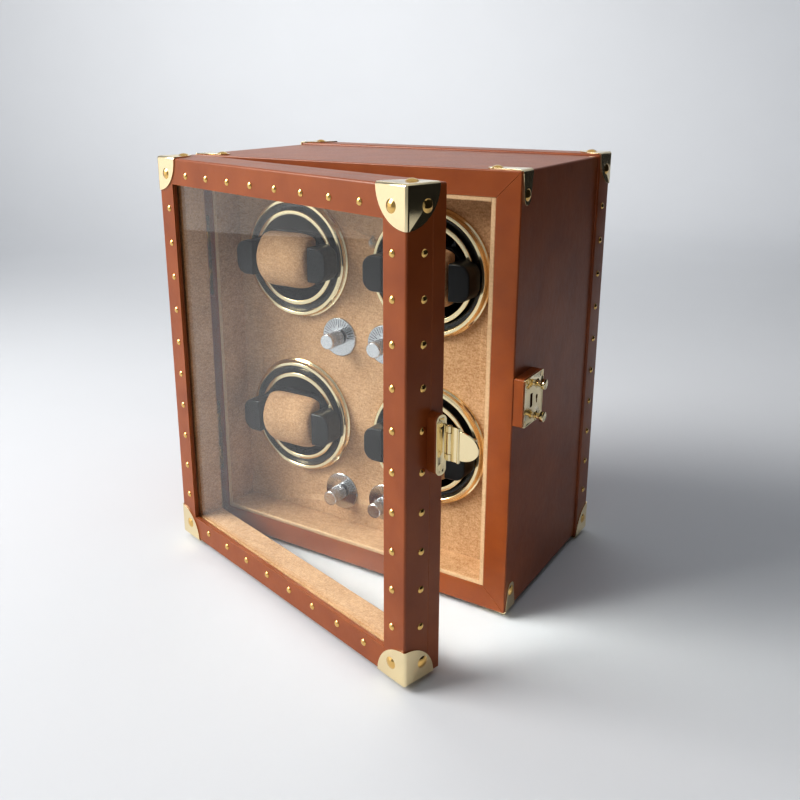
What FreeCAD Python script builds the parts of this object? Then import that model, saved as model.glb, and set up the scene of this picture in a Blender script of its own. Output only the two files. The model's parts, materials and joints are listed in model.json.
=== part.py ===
"""Watch winder for four watches, with a glazed door that swings on the left.

The origin lies in the case's resting plane, under the middle of the closed case.
+X is to the right, +Y to the rear and +Z up, in millimetres.
The door pieces are modelled shut and then swung open about the hinge line.
"""

import FreeCAD, Part

import os
import re

import Sketcher

Vector = FreeCAD.Vector

# Driving dimensions, in millimetres and degrees.
SIZES = {
    # Case
    "case_width": 290.0,
    "case_height": 330.0,
    "carcass_depth": 145.0,
    "base_height": 5.2,
    "base_inset": 17.4,
    "base_rear_gap": 4.6,
    "base_round": 9.3,
    "rim_width": 18.0,
    "rim_leather": 1.2,
    "mitre_gap": 0.3,
    "edge_round": 1.7,
    "rim_round": 1.0,
    "recess_depth": 29.0,
    "liner_thickness": 3.5,
    "liner_setback": 0.3,
    "panel_thickness": 6.0,
    # Rear band and back panel
    "band_depth": 24.4,
    "band_proud": 1.7,
    "rear_ring_width": 26.1,
    "shelf_width": 8.1,
    "rebate_depth": 5.8,
    "back_thickness": 4.0,
    "panel_gap": 0.3,
    "back_screw_inset": 4.1,
    # Door
    "door_angle": 16.0,
    "door_depth": 31.9,
    "door_gap": 0.5,
    "door_rail": 20.3,
    "door_leather": 1.2,
    "leather_depth": 21.1,
    "seam_width": 0.3,
    "glass_setback": 3.7,
    "glass_thickness": 3.0,
    "glass_gap": 0.3,
    "lining_thickness": 3.5,
    "lining_setback": 2.7,
    # Hinges
    "hinge_offset": 3.9,
    "hinge_length": 69.6,
    "hinge_inset": 48.7,
    "leaf_width": 13.9,
    "leaf_thickness": 1.2,
    "knuckle_radius": 3.0,
    "knuckle_length": 17.4,
    "knuckle_gap": 0.3,
    "hinge_pin_radius": 1.4,
    "pin_clearance": 0.05,
    "pin_head_radius": 2.6,
    "pin_head_height": 1.2,
    # Nails, rivets and screws
    "nail_radius": 2.8,
    "nail_height": 1.4,
    "nail_shank_radius": 0.7,
    "nail_shank_length": 7.0,
    "nail_inset": 12.6,
    "stile_nail_pitch": 27.8,
    "stile_nail_margin": 39.8,
    "rail_nail_pitch": 29.5,
    "rail_nail_margin": 41.7,
    "door_side_nail_inset": 14.4,
    "band_side_nail_inset": 12.3,
    "rivet_radius": 4.3,
    "rivet_height": 1.6,
    "rivet_shank_radius": 1.5,
    "rivet_shank_length": 7.0,
    "screw_head_radius": 2.2,
    "screw_head_depth": 1.0,
    "screw_shank_radius": 1.0,
    "screw_length": 7.0,
    "screw_clearance": 0.05,
    # Corner caps and straps
    "cap_thickness": 0.9,
    "cap_round": 2.1,
    "door_cap_radius": 26.1,
    "rear_cap_radius": 24.4,
    "cap_rivet_inset": 12.5,
    "cap_side_rivet_inset": 15.8,
    "rear_cap_side_rivet_inset": 9.9,
    "strap_setback": 0.6,
    "strap_root_width": 16.8,
    "strap_tip_width": 10.4,
    "strap_side_length": 23.2,
    "strap_top_length": 28.4,
    "strap_side_rivet": 16.2,
    "strap_top_rivet": 22.0,
    # Rotor layout and fixed rotor pieces
    "rotor_side_shift": 0.3,
    "rotor_row_offset": 5.5,
    "rotor_top_gap": 9.4,
    "bezel_foot_radius": 50.3,
    "bezel_foot_height": 1.4,
    "bezel_shoulder_height": 2.1,
    "bezel_radius": 48.7,
    "bezel_bore_radius": 44.8,
    "bezel_height": 6.8,
    "bezel_round": 1.7,
    "well_radius": 44.4,
    "well_height": 4.9,
    "well_wall": 2.3,
    "well_groove_depth": 2.6,
    "well_lip_drop": 0.9,
    "well_flange_radius": 50.5,
    "well_flange_thickness": 2.3,
    "well_back_thickness": 2.3,
    "well_shaft_clearance": 1.2,
    "well_gap": 0.3,
    # Cup and its ring
    "cup_radius": 39.1,
    "cup_gap": 0.9,
    "cup_wall": 2.2,
    "cup_front": 4.9,
    "cup_depth": 37.1,
    "cup_floor": 2.9,
    "cup_hub_radius": 8.1,
    "cup_hub_length": 4.1,
    "cup_back_gap": 1.0,
    "spindle_radius": 3.0,
    "spindle_clearance": 0.05,
    "spindle_grip": 11.0,
    "ring_width": 3.8,
    "ring_height": 2.3,
    "ring_round": 0.8,
    "notch_height": 29.0,
    "notch_rim": 0.8,
    "notch_floor_gap": 0.5,
    # Gearmotor
    "gearbox_radius": 18.0,
    "gearbox_length": 14.0,
    "motor_radius": 12.0,
    "motor_length": 22.0,
    # Cuff
    "cuff_length": 89.3,
    "cuff_end_height": 27.8,
    "cuff_end_width": 16.8,
    "cuff_end_front": 25.5,
    "cuff_end_round": 9.3,
    "cuff_edge_round": 1.4,
    "cuff_ring_gap": 0.8,
    "cuff_tail_clearance": 1.2,
    "cuff_tail_drop": 2.6,
    "cuff_lift": 0.6,
    "cuff_plate_thickness": 6.0,
    "cuff_plate_width": 60.3,
    "cuff_plate_height": 42.9,
    "cuff_plate_taper": 10.4,
    "pad_width": 51.0,
    "pad_height": 46.4,
    "pad_front_gap": 0.3,
    "pad_seat_gap": 0.3,
    "pad_crown": 8.1,
    "pad_bulge": 2.6,
    "pad_end_draw": 3.7,
    "pad_shoulder_draw": 0.9,
    "pad_end_length": 5.8,
    # Speed and direction controls
    "knob_spacing": 44.1,
    "knob_lift": 6.4,
    "dial_radius": 16.2,
    "dial_thickness": 1.2,
    "dial_bore_gap": 0.2,
    "knob_radius": 6.4,
    "knob_length": 16.0,
    "knob_base_gap": 1.4,
    "knob_bevel": 0.6,
    "knob_groove_depth": 0.6,
    "knob_groove_width": 0.8,
    "knob_groove_end": 1.9,
    "knob_grooves": 24,
    "knob_spindle_radius": 2.8,
    "knob_spindle_length": 14.0,
    "bush_radius": 3.5,
    "bush_proud": 0.8,
    "control_width": 17.0,
    "control_depth": 9.0,
    "control_bore_depth": 7.0,
    # Indicator lens
    "lens_gap": 4.4,
    "lens_angle": 20.5,
    "lens_width": 8.1,
    "lens_height": 10.4,
    "lens_proud": 3.5,
    "lens_crown_share": 0.55,
    "lens_foot_share": 0.6,
    "lens_stem_radius": 2.3,
    "lens_stem_gap": 0.2,
    "lens_stem_length": 9.3,
    # Lock on the right side of the case
    "lock_depth": 32.5,
    "lock_height": 36.0,
    "lock_setback": 0.6,
    "lock_block": 7.4,
    "lock_plate_thickness": 1.2,
    "lock_plate_round": 1.4,
    "lock_level": 169.9,
    "lock_wall": 5.9,
    "lock_end_wall": 2.7,
    "lock_floor": 2.1,
    "lock_screw_inset": 2.9,
    "post_offset": 15.5,
    "post_spread": 24.4,
    "post_radius": 2.3,
    "post_head_radius": 3.8,
    "post_head_length": 2.6,
    "post_collar_radius": 3.4,
    "post_collar_length": 1.2,
    "post_length": 9.0,
    "post_travel": 2.0,
    "post_flange_radius": 3.0,
    "post_flange_thickness": 1.2,
    "post_flange_gap": 0.3,
    "keyhole_offset": 21.5,
    "keyhole_radius": 1.7,
    "keyhole_slot_width": 1.6,
    "keyhole_slot_length": 4.6,
    "bolt_rest_gap": 0.9,
    "bolt_length": 11.6,
    "bolt_height": 8.1,
    "bolt_tip_height": 5.1,
    "bolt_tip_length": 3.9,
    "bolt_thickness": 2.1,
    "bolt_floor_gap": 0.3,
    "catch_slot_gap": 0.4,
    "catch_swing_room": 1.3,
    # Hasp on the right side of the door
    "flap_angle": 80.0,
    "hasp_back_inset": 5.1,
    "hasp_width": 8.8,
    "hasp_height": 40.6,
    "hasp_round": 4.2,
    "hasp_axis_gap": 2.2,
    "hasp_axis_proud": 0.5,
    "hasp_knuckle_radius": 1.9,
    "hasp_pin_radius": 0.9,
    "hasp_hinge_height": 23.2,
    "hasp_flap_knuckle": 13.9,
    "hasp_screw_spread": 29.5,
    "flap_clearance": 0.3,
    "flap_thickness": 1.3,
    "flap_root_length": 8.1,
    "flap_tongue_length": 13.9,
    "flap_tongue_height": 19.3,
    "flap_bead_radius": 0.9,
    "catch_reach": 14.2,
    "catch_width": 2.3,
    "catch_height": 9.3,
    "catch_length": 6.3,
    "catch_window_height": 6.0,
    "catch_window_low": 1.0,
    "catch_window_high": 3.9,
    # Control board and power inlet on the back panel
    "board_width": 90.0,
    "board_height": 60.0,
    "board_thickness": 1.6,
    "board_standoff": 6.0,
    "standoff_radius": 2.5,
    "standoff_inset": 5.0,
    "chip_width": 16.0,
    "chip_height": 12.0,
    "chip_thickness": 3.0,
    "inlet_offset": 69.6,
    "inlet_height_on_case": 52.2,
    "inlet_flange_radius": 6.0,
    "inlet_flange_thickness": 1.0,
    "inlet_radius": 4.2,
    "inlet_length": 13.0,
    "inlet_bore_radius": 2.75,
    "inlet_bore_depth": 9.5,
    "inlet_hole_gap": 0.1,
}

# Places worked out from the driving dimensions.
PLACES = {
    "case_right": "case_width / 2",
    "case_left": "-case_width / 2",
    "case_base": "base_height",
    "case_top": "base_height + case_height",
    "case_middle": "base_height + case_height / 2",
    "case_front": "-(carcass_depth + band_depth) / 2",
    "band_front": "case_front + carcass_depth",
    "case_rear": "band_front + band_depth",
    "opening_right": "case_right - rim_width",
    "opening_base": "case_base + rim_width",
    "opening_top": "case_top - rim_width",
    "panel_front": "case_front + recess_depth",
    "panel_rear": "panel_front + panel_thickness",
    "band_right": "case_right + band_proud",
    "band_base": "case_base - band_proud",
    "band_top": "case_top + band_proud",
    "rebate_right": "band_right - rear_ring_width",
    "rebate_base": "band_base + rear_ring_width",
    "rebate_top": "band_top - rear_ring_width",
    "rebate_floor": "case_rear - rebate_depth",
    "back_face": "rebate_floor + back_thickness",
    "door_back": "case_front - door_gap",
    "door_front": "door_back - door_depth",
    "seam_front": "door_front + leather_depth",
    "glass_front": "door_front + glass_setback",
    "glass_rear": "glass_front + glass_thickness",
    "hinge_x": "case_left - hinge_offset",
    "hinge_y": "case_front - door_gap / 2",
    "recess_right": "opening_right - liner_thickness",
    "recess_base": "opening_base + liner_thickness",
    "recess_top": "opening_top - liner_thickness",
    "rotor_x": "recess_right / 2 + rotor_side_shift",
    "rotor_upper": "recess_top - rotor_top_gap - bezel_foot_radius",
    "rotor_rise": "(recess_top - recess_base) / 2 - rotor_row_offset",
    "rotor_mid": "rotor_upper - rotor_rise / 2",
    "knob_x": "knob_spacing / 2",
    "knob_drop": "rotor_rise / 2 - knob_lift",
    "knob_upper": "rotor_upper - knob_drop",
    "knob_mid": "rotor_mid - knob_drop",
    "lens_x": "rotor_x - (bezel_foot_radius + lens_gap) * cos(lens_angle)",
    "lens_z": "rotor_upper + (bezel_foot_radius + lens_gap) * sin(lens_angle)",
    "cuff_back": "-cuff_lift",
    "notch_floor": "cuff_back + notch_floor_gap",
    "well_bore_radius": "cup_radius + cup_gap",
    "cup_back": "cup_depth + cup_floor + cup_hub_length",
    "well_back_front": "cup_back + cup_back_gap",
    "well_back_rear": "well_back_front + well_back_thickness",
    "lock_middle": "case_base + lock_level",
    "lock_front": "case_front + lock_setback",
    "lock_rear": "lock_front + lock_depth",
    "lock_plate_inner": "case_right + lock_block",
    "lock_plate_outer": "lock_plate_inner + lock_plate_thickness",
    "lock_cavity_floor": "case_right + lock_floor",
    "post_y": "lock_front + post_offset",
    "hasp_rear": "door_back - hasp_back_inset",
    "hasp_front": "hasp_rear - hasp_width",
    "hasp_x": "lock_plate_outer + hasp_axis_proud",
    "hasp_y": "hasp_rear + hasp_axis_gap",
    "flap_inner": "lock_plate_outer + flap_clearance",
    "catch_front": "hasp_y + catch_reach",
    "catch_rear": "catch_front + catch_width",
    "catch_tip": "flap_inner - catch_length",
    "slot_rear": "catch_rear + catch_swing_room",
}

doc = FreeCAD.newDocument("watch_winder")
sizes = doc.addObject("Spreadsheet::Sheet", "sizes")
nodes = []


def fill_sheet():
    """Write each driving dimension in a row of the sheet, with its alias."""
    for row, (alias, size) in enumerate(SIZES.items(), 1):
        sizes.set(f"A{row}", alias)
        sizes.set(f"B{row}", str(size))
        sizes.setAlias(f"B{row}", alias)
    doc.recompute()


def formula(text):
    """The text as an expression: places are written out and sizes point to the sheet."""
    def written_out(match):
        word = match.group()
        if word in PLACES:
            return "(" + formula(PLACES[word]) + ")"
        if word in SIZES:
            return "sizes." + word
        return word
    return re.sub(r"[A-Za-z_]\w*", written_out, str(text))


def value(text):
    """The number that an expression has now."""
    return float(sizes.evalExpression(formula(text)))


DOOR_SWING = (
    "placement(vector(hinge_x; hinge_y; 0); rotation(-door_angle; 0; 0))"
    " * placement(vector(-(hinge_x); -(hinge_y); 0); rotation(0; 0; 0))"
)
FLAP_SWING = (
    DOOR_SWING
    + " * placement(vector(hasp_x; hasp_y; 0); rotation(-flap_angle; 0; 0))"
    + " * placement(vector(-(hasp_x); -(hasp_y); 0); rotation(0; 0; 0))"
)


def node(label, piece, swing=None):
    """Name a finished sub-part, and swing it with the door or the flap."""
    piece.Label = label
    if swing:
        piece.setExpression("Placement", formula(swing))
    nodes.append(piece)
    return piece


def box(name, x, y, z):
    """A box between a low and a high place on each axis."""
    piece = doc.addObject("Part::Box", name)
    for side, (low, high) in zip(("Length", "Width", "Height"), (x, y, z)):
        piece.setExpression(side, formula(f"({high}) - ({low})"))
    for axis, (low, high) in zip("xyz", (x, y, z)):
        piece.setExpression("Placement.Base." + axis, formula(low))
    return piece


TURNS = {
    "x": FreeCAD.Rotation(Vector(0, 1, 0), 90),
    "y": FreeCAD.Rotation(Vector(1, 0, 0), -90),
    "z": FreeCAD.Rotation(),
}


def rod(name, axis, radius, x, y, z):
    """A cylinder along an axis; the place on that axis is a low and high pair."""
    piece = doc.addObject("Part::Cylinder", name)
    piece.Placement = FreeCAD.Placement(Vector(), TURNS[axis])
    places = {"x": x, "y": y, "z": z}
    low, high = places[axis]
    places[axis] = low
    piece.setExpression("Radius", formula(radius))
    piece.setExpression("Height", formula(f"({high}) - ({low})"))
    for letter, place in places.items():
        piece.setExpression("Placement.Base." + letter, formula(place))
    return piece


def fuse(name, *pieces):
    """The pieces joined into one."""
    joined = doc.addObject("Part::MultiFuse", name)
    joined.Shapes = list(pieces)
    joined.Refine = True
    return joined


def cut(name, base, *tools):
    """The base with the tools taken away."""
    result = doc.addObject("Part::Cut", name)
    result.Base = base
    result.Tool = tools[0] if len(tools) == 1 else group(name + "_tools", *tools)
    return result


def common(name, first, second):
    """What two pieces share."""
    result = doc.addObject("Part::Common", name)
    result.Base = first
    result.Tool = second
    return result


def group(name, *pieces):
    """Separate pieces kept side by side."""
    result = doc.addObject("Part::Compound", name)
    result.Links = list(pieces)
    return result


def mirrored(name, source, axis, place="0"):
    """The source mirrored in the plane square to an axis at a place on it."""
    result = doc.addObject("Part::Mirroring", name)
    result.Source = source
    result.Normal = tuple(1.0 if letter == axis else 0.0 for letter in "xyz")
    result.setExpression("Base." + axis, formula(place))
    return result


def four_ways(name, source, height):
    """The source, and its mirror images in x = 0, in a height and in both."""
    across = mirrored(name + "_across", source, "x")
    lower = mirrored(name + "_lower", source, "z", height)
    both = mirrored(name + "_both", across, "z", height)
    return [source, across, lower, both]


def round_edges(name, base, radius, chosen):
    """Round the edges of a piece that the chosen test picks."""
    doc.recompute()
    result = doc.addObject("Part::Fillet", name)
    result.Base = base
    size = value(radius)
    edges = enumerate(base.Shape.Edges, 1)
    result.Edges = [(number, size, size) for number, edge in edges if chosen(edge)]
    return result


def runs_along(edge, axis):
    """True for a straight edge along an axis."""
    if not isinstance(edge.Curve, Part.Line):
        return False
    direction = edge.Curve.Direction
    return abs(abs(getattr(direction, axis)) - 1.0) < 1e-6


def lies_at(edge, axis, place):
    """True where the middle of an edge is at a place on an axis."""
    return abs(getattr(edge.CenterOfMass, axis) - value(place)) < 1e-4


def body(name):
    """An empty part body."""
    return doc.addObject("PartDesign::Body", name)


def sketch(piece, name, plane, offset, outline=(), circles=()):
    """A sketch on a plane of the body, with a closed outline and circles.

    Each corner of the outline is a pair of places, and each circle is a centre
    and a radius. The offset is the distance along the plane's normal.
    """
    drawing = piece.newObject("Sketcher::SketchObject", name)
    planes = piece.Origin.OriginFeatures
    support = next(face for face in planes if face.Role == plane)
    drawing.AttachmentSupport = (support, [""])
    drawing.MapMode = "FlatFace"
    drawing.setExpression("AttachmentOffset.Base.z", formula(offset))
    corners = [Vector(value(u), value(v), 0) for u, v in outline]
    for number, corner in enumerate(corners):
        following = corners[(number + 1) % len(corners)]
        drawing.addGeometry(Part.LineSegment(corner, following))
    for number in range(len(corners)):
        following = (number + 1) % len(corners)
        drawing.addConstraint(Sketcher.Constraint("Coincident", number, 2, following, 1))
    for number, (u, v) in enumerate(outline):
        bind_point(drawing, number, 1, u, v)
    for u, v, radius in circles:
        centre = Vector(value(u), value(v), 0)
        circle = Part.Circle(centre, Vector(0, 0, 1), value(radius))
        number = drawing.addGeometry(circle)
        bind_point(drawing, number, 3, u, v)
        constraint = Sketcher.Constraint("Radius", number, value(radius))
        bind(drawing, constraint, radius)
    return drawing


def bind(drawing, constraint, text):
    """Add a constraint to a sketch and bind its size."""
    number = drawing.addConstraint(constraint)
    drawing.setExpression(f"Constraints[{number}]", formula(text))


def bind_point(drawing, edge, point, u, v):
    """Bind both coordinates of a point of a sketch."""
    for kind, place in (("DistanceX", u), ("DistanceY", v)):
        constraint = Sketcher.Constraint(kind, -1, 1, edge, point, value(place))
        bind(drawing, constraint, place)


def pad(piece, name, plane, low, high, outline=(), circles=()):
    """Add material between two places on the normal of a plane."""
    start = f"-({high})" if plane == "XZ_Plane" else low
    drawing = sketch(piece, name + "_sketch", plane, start, outline, circles)
    feature = piece.newObject("PartDesign::Pad", name)
    feature.Profile = drawing
    feature.setExpression("Length", formula(f"({high}) - ({low})"))
    return feature


def pocket(piece, name, plane, low, high, outline=(), circles=()):
    """Take material away between two places on the normal of a plane."""
    start = f"-({low})" if plane == "XZ_Plane" else high
    drawing = sketch(piece, name + "_sketch", plane, start, outline, circles)
    doc.recompute()
    before = piece.Shape.Volume
    feature = piece.newObject("PartDesign::Pocket", name)
    feature.Profile = drawing
    feature.setExpression("Length", formula(f"({high}) - ({low})"))
    doc.recompute()
    if piece.Shape.Volume >= before:
        raise RuntimeError(name + " took nothing away")
    return feature


def turned(name, profile):
    """A body turned about its own Y axis; the profile is radius and depth pairs."""
    piece = body(name)
    drawing = sketch(piece, name + "_profile", "XY_Plane", "0", profile)
    feature = piece.newObject("PartDesign::Revolution", name + "_turned")
    feature.Profile = drawing
    feature.ReferenceAxis = (drawing, ["V_Axis"])
    feature.Angle = 360.0
    return piece


def body_fillet(piece, name, radius, chosen):
    """Round the edges of a body's last feature that the chosen test picks."""
    doc.recompute()
    last = piece.Tip
    edges = enumerate(last.Shape.Edges, 1)
    picked = [f"Edge{number}" for number, edge in edges if chosen(edge)]
    feature = piece.newObject("PartDesign::Fillet", name)
    feature.Base = (last, picked)
    feature.setExpression("Radius", formula(radius))
    return feature


def place(piece, x, y, z):
    """Bind where a piece's own origin stands."""
    for axis, spot in zip("xyz", (x, y, z)):
        piece.setExpression("Placement.Base." + axis, formula(spot))
    return piece


def rectangle(u_low, u_high, v_low, v_high):
    """The four corners of a rectangle."""
    return [(u_low, v_low), (u_high, v_low), (u_high, v_high), (u_low, v_high)]


def is_ring(edge, radius, depth):
    """True for a circle about the Y axis with a radius, at a depth."""
    if not isinstance(edge.Curve, Part.Circle):
        return False
    same_radius = abs(edge.Curve.Radius - value(radius)) < 1e-4
    return same_radius and abs(edge.Curve.Center.y - value(depth)) < 1e-4


FACING = {
    "-y": FreeCAD.Rotation(),
    "+y": FreeCAD.Rotation(Vector(0, 0, 1), 180),
    "+x": FreeCAD.Rotation(Vector(0, 0, 1), 90),
    "-x": FreeCAD.Rotation(Vector(0, 0, 1), -90),
    "+z": FreeCAD.Rotation(Vector(1, 0, 0), -90),
    "-z": FreeCAD.Rotation(Vector(1, 0, 0), 90),
}


def scattered(name, shape, spots):
    """Copies of a small shape that faces -Y, each set at (x, y, z) and facing a way."""
    copies = []
    for x, y, z, facing in spots:
        copy = shape.copy()
        copy.Placement = FreeCAD.Placement(Vector(x, y, z), FACING[facing])
        copies.append(copy)
    piece = doc.addObject("Part::Feature", name)
    piece.Shape = Part.makeCompound(copies)
    return piece


def domed(radius, height, shank_radius, shank_length):
    """A domed head whose flat side is at y = 0, on a shank that runs to +Y."""
    head_radius = value(radius)
    head_height = value(height)
    ball_radius = (head_radius ** 2 + head_height ** 2) / (2 * head_height)
    ball = Part.makeSphere(ball_radius, Vector(0, ball_radius - head_height, 0))
    slice_box = Part.makeBox(
        2 * ball_radius, head_height, 2 * ball_radius,
        Vector(-ball_radius, -head_height, -ball_radius))
    head = ball.common(slice_box)
    shank = Part.makeCylinder(
        value(shank_radius), value(shank_length), Vector(), Vector(0, 1, 0))
    return head.fuse(shank).removeSplitter()


def countersunk(clearance):
    """A countersunk screw whose flat face is at y = 0, on a shank that runs to +Y."""
    head_radius = value("screw_head_radius") + clearance
    shank_radius = value("screw_shank_radius") + clearance
    depth = value("screw_head_depth") + clearance
    head = Part.makeCone(head_radius, shank_radius, depth, Vector(), Vector(0, 1, 0))
    length = value("screw_length") + clearance
    shank = Part.makeCylinder(shank_radius, length, Vector(), Vector(0, 1, 0))
    return head.fuse(shank).removeSplitter()


def nail_row(length, margin, pitch):
    """Places of evenly spaced nails, centred on zero."""
    count = int((value(length) - 2 * value(margin)) / value(pitch) + 1e-6) + 1
    step = value(pitch)
    return [(number - (count - 1) / 2) * step for number in range(count)]


def framed(name, right, base, top, y, inner_right, inner_base, inner_top):
    """A rectangular frame, as a box with a box taken through it."""
    outer = box(name + "_outer", ("-(" + right + ")", right), y, (base, top))
    inner = box(
        name + "_inner", ("-(" + inner_right + ")", inner_right), y,
        (inner_base, inner_top))
    return outer, inner


def mitre_cuts(name, right, base, top, y):
    """Four thin slabs on the diagonals of a frame's corners."""
    slabs = []
    reach = "rim_width + door_rail"
    for side in (-1, 1):
        for height, rise in ((base, 1), (top, -1)):
            slab = doc.addObject("Part::Box", name)
            angle = 45.0 if side * rise < 0 else 135.0
            slab.setExpression("Length", formula(f"2 * ({reach})"))
            slab.setExpression("Width", formula(f"({y[1]}) - ({y[0]})"))
            slab.setExpression("Height", formula("mitre_gap"))
            centre = f"placement(vector({side} * ({right}); {y[0]}; {height}); "
            turn = f"rotation(0; {-angle}; 0))"
            shift = (
                f" * placement(vector(-({reach}); 0; -mitre_gap / 2);"
                " rotation(0; 0; 0))")
            slab.setExpression("Placement", formula(centre + turn + shift))
            slabs.append(slab)
    return slabs


def case_shell():
    """Board box, open at the front and rear, with a rounded leather edge."""
    outer, inner = framed(
        "shell", "case_right", "case_base", "case_top",
        ("case_front + rim_leather", "band_front"),
        "opening_right", "opening_base", "opening_top")
    rounded = round_edges("shell_round", outer, "edge_round", lambda e: runs_along(e, "y"))
    node("case_shell", cut("shell_cut", rounded, inner))


def front_rim():
    """Four mitred leather strips on the front edge, notched for the hinge leaves."""
    y = ("case_front", "case_front + rim_leather")
    outer, inner = framed(
        "rim", "case_right", "case_base", "case_top", y,
        "opening_right", "opening_base", "opening_top")
    corners = round_edges("rim_corners", outer, "edge_round", lambda e: runs_along(e, "y"))
    rounded = round_edges(
        "rim_round", corners, "rim_round", lambda e: lies_at(e, "y", "case_front"))
    notches = [
        box(
            "leaf_notch", ("case_left", "case_left + leaf_width"), y, span)
        for span in hinge_spans()]
    slabs = mitre_cuts("rim_mitre", "case_right", "case_base", "case_top", y)
    node("front_rim", cut("rim_cut", rounded, inner, *slabs, *notches))


def recess_liner():
    """Four suede-covered boards on the walls of the recess."""
    y = ("case_front + liner_setback", "panel_front")
    boards = [
        box("liner_right", ("recess_right", "opening_right"), y,
            ("opening_base", "opening_top")),
        box("liner_left", ("-opening_right", "-recess_right"), y,
            ("opening_base", "opening_top")),
        box("liner_base", ("-recess_right", "recess_right"), y,
            ("opening_base", "recess_base")),
        box("liner_top", ("-recess_right", "recess_right"), y,
            ("recess_top", "opening_top")),
    ]
    node("recess_liner", group("liner_boards", *boards))


def rotor_places():
    """Centres of the four rotors as side and height pairs."""
    return [
        (side + "rotor_x", height)
        for height in ("rotor_upper", "rotor_upper - rotor_rise")
        for side in ("-", "")]


def knob_places():
    """Centres of the four knobs as side and height pairs."""
    return [
        (side + "knob_x", height)
        for height in ("knob_upper", "knob_upper - rotor_rise")
        for side in ("-", "")]


def rotor_panel():
    """Suede-covered board with holes for the rotors, the controls and the lens."""
    piece = body("panel")
    holes = [(u, v, "well_radius + well_gap") for u, v in rotor_places()]
    holes += [(u, v, "bush_radius + dial_bore_gap") for u, v in knob_places()]
    holes.append(
        ("lens_x", "lens_z", "lens_stem_radius + lens_stem_gap"))
    pad(
        piece, "panel_board", "XZ_Plane", "panel_front", "panel_rear",
        rectangle("-opening_right", "opening_right", "opening_base", "opening_top"), holes)
    node("rotor_panel", piece)


def rear_band():
    """Leather-covered frame round the rear edge, rebated for the back panel."""
    shelf = "shelf_width"
    y = ("band_front", "case_rear")
    outer, inner = framed(
        "band", "band_right", "band_base", "band_top", y,
        f"rebate_right - {shelf}", f"rebate_base + {shelf}", f"rebate_top - {shelf}")
    rounded = round_edges("band_round", outer, "edge_round", lambda e: True)
    rebate = box(
        "rebate", ("-rebate_right", "rebate_right"), ("rebate_floor", "case_rear"),
        ("rebate_base", "rebate_top"))
    node("rear_band", cut("band_cut", rounded, inner, rebate))


def back_screw_spots():
    """Where the screws of the back panel stand."""
    side = value("rebate_right - back_screw_inset")
    low = value("rebate_base + back_screw_inset")
    high = value("rebate_top - back_screw_inset")
    middle = (low + high) / 2
    face = value("back_face")
    return [(x, face, z, "+y") for x in (-side, side) for z in (low, middle, high)]


def back_panel(screw_holes):
    """Board in the rebate of the rear band, with a hole for the power inlet."""
    piece = body("back")
    outline = rectangle(
        "-(rebate_right - panel_gap)", "rebate_right - panel_gap",
        "rebate_base + panel_gap", "rebate_top - panel_gap")
    hole = ("inlet_offset", "case_base + inlet_height_on_case", "inlet_radius + inlet_hole_gap")
    pad(piece, "back_board", "XZ_Plane", "rebate_floor", "back_face", outline, [hole])
    node("back_panel", cut("back_cut", piece, screw_holes))


def corner_cap(name, right, top, y_face, outward, radius):
    """Thin metal cap on one corner: a rounded box less the corner, kept near the vertex.

    It wraps the three faces that meet at the vertex, as a quarter disc on each.
    """
    thick = "cap_thickness"
    reach = f"({radius}) + {thick}"
    if outward < 0:
        y_outer = (f"{y_face} - {thick}", f"{y_face} + {reach}")
        y_inner = (y_face, f"{y_face} + {reach}")
    else:
        y_outer = (f"{y_face} - ({reach})", f"{y_face} + {thick}")
        y_inner = (f"{y_face} - ({reach})", y_face)
    outer = box(
        name + "_outer", (f"{right} - ({reach})", f"{right} + {thick}"), y_outer,
        (f"{top} - ({reach})", f"{top} + {thick}"))
    corner = Vector(value(f"{right} + {thick}"), value(y_outer[0 if outward < 0 else 1]),
                    value(f"{top} + {thick}"))

    def at_vertex(edge):
        return any((vertex.Point - corner).Length < 1e-4 for vertex in edge.Vertexes)

    rounded = round_edges(name + "_round", outer, "cap_round", at_vertex)
    inner = box(
        name + "_inner", (f"{right} - ({reach})", right), y_inner,
        (f"{top} - ({reach})", top))
    shell = cut(name + "_shell", rounded, inner)
    discs = fuse(
        name + "_discs",
        rod(name + "_disc_x", "x", radius, (f"{right} - {thick}", f"{right} + 2 * {thick}"),
            y_face, top),
        rod(name + "_disc_y", "y", radius, right,
            (f"{y_face} - 2 * {thick}", f"{y_face} + 2 * {thick}"), top),
        rod(name + "_disc_z", "z", radius, right, y_face,
            (f"{top} - {thick}", f"{top} + 2 * {thick}")))
    return common(name + "_cap", shell, discs)


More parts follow.
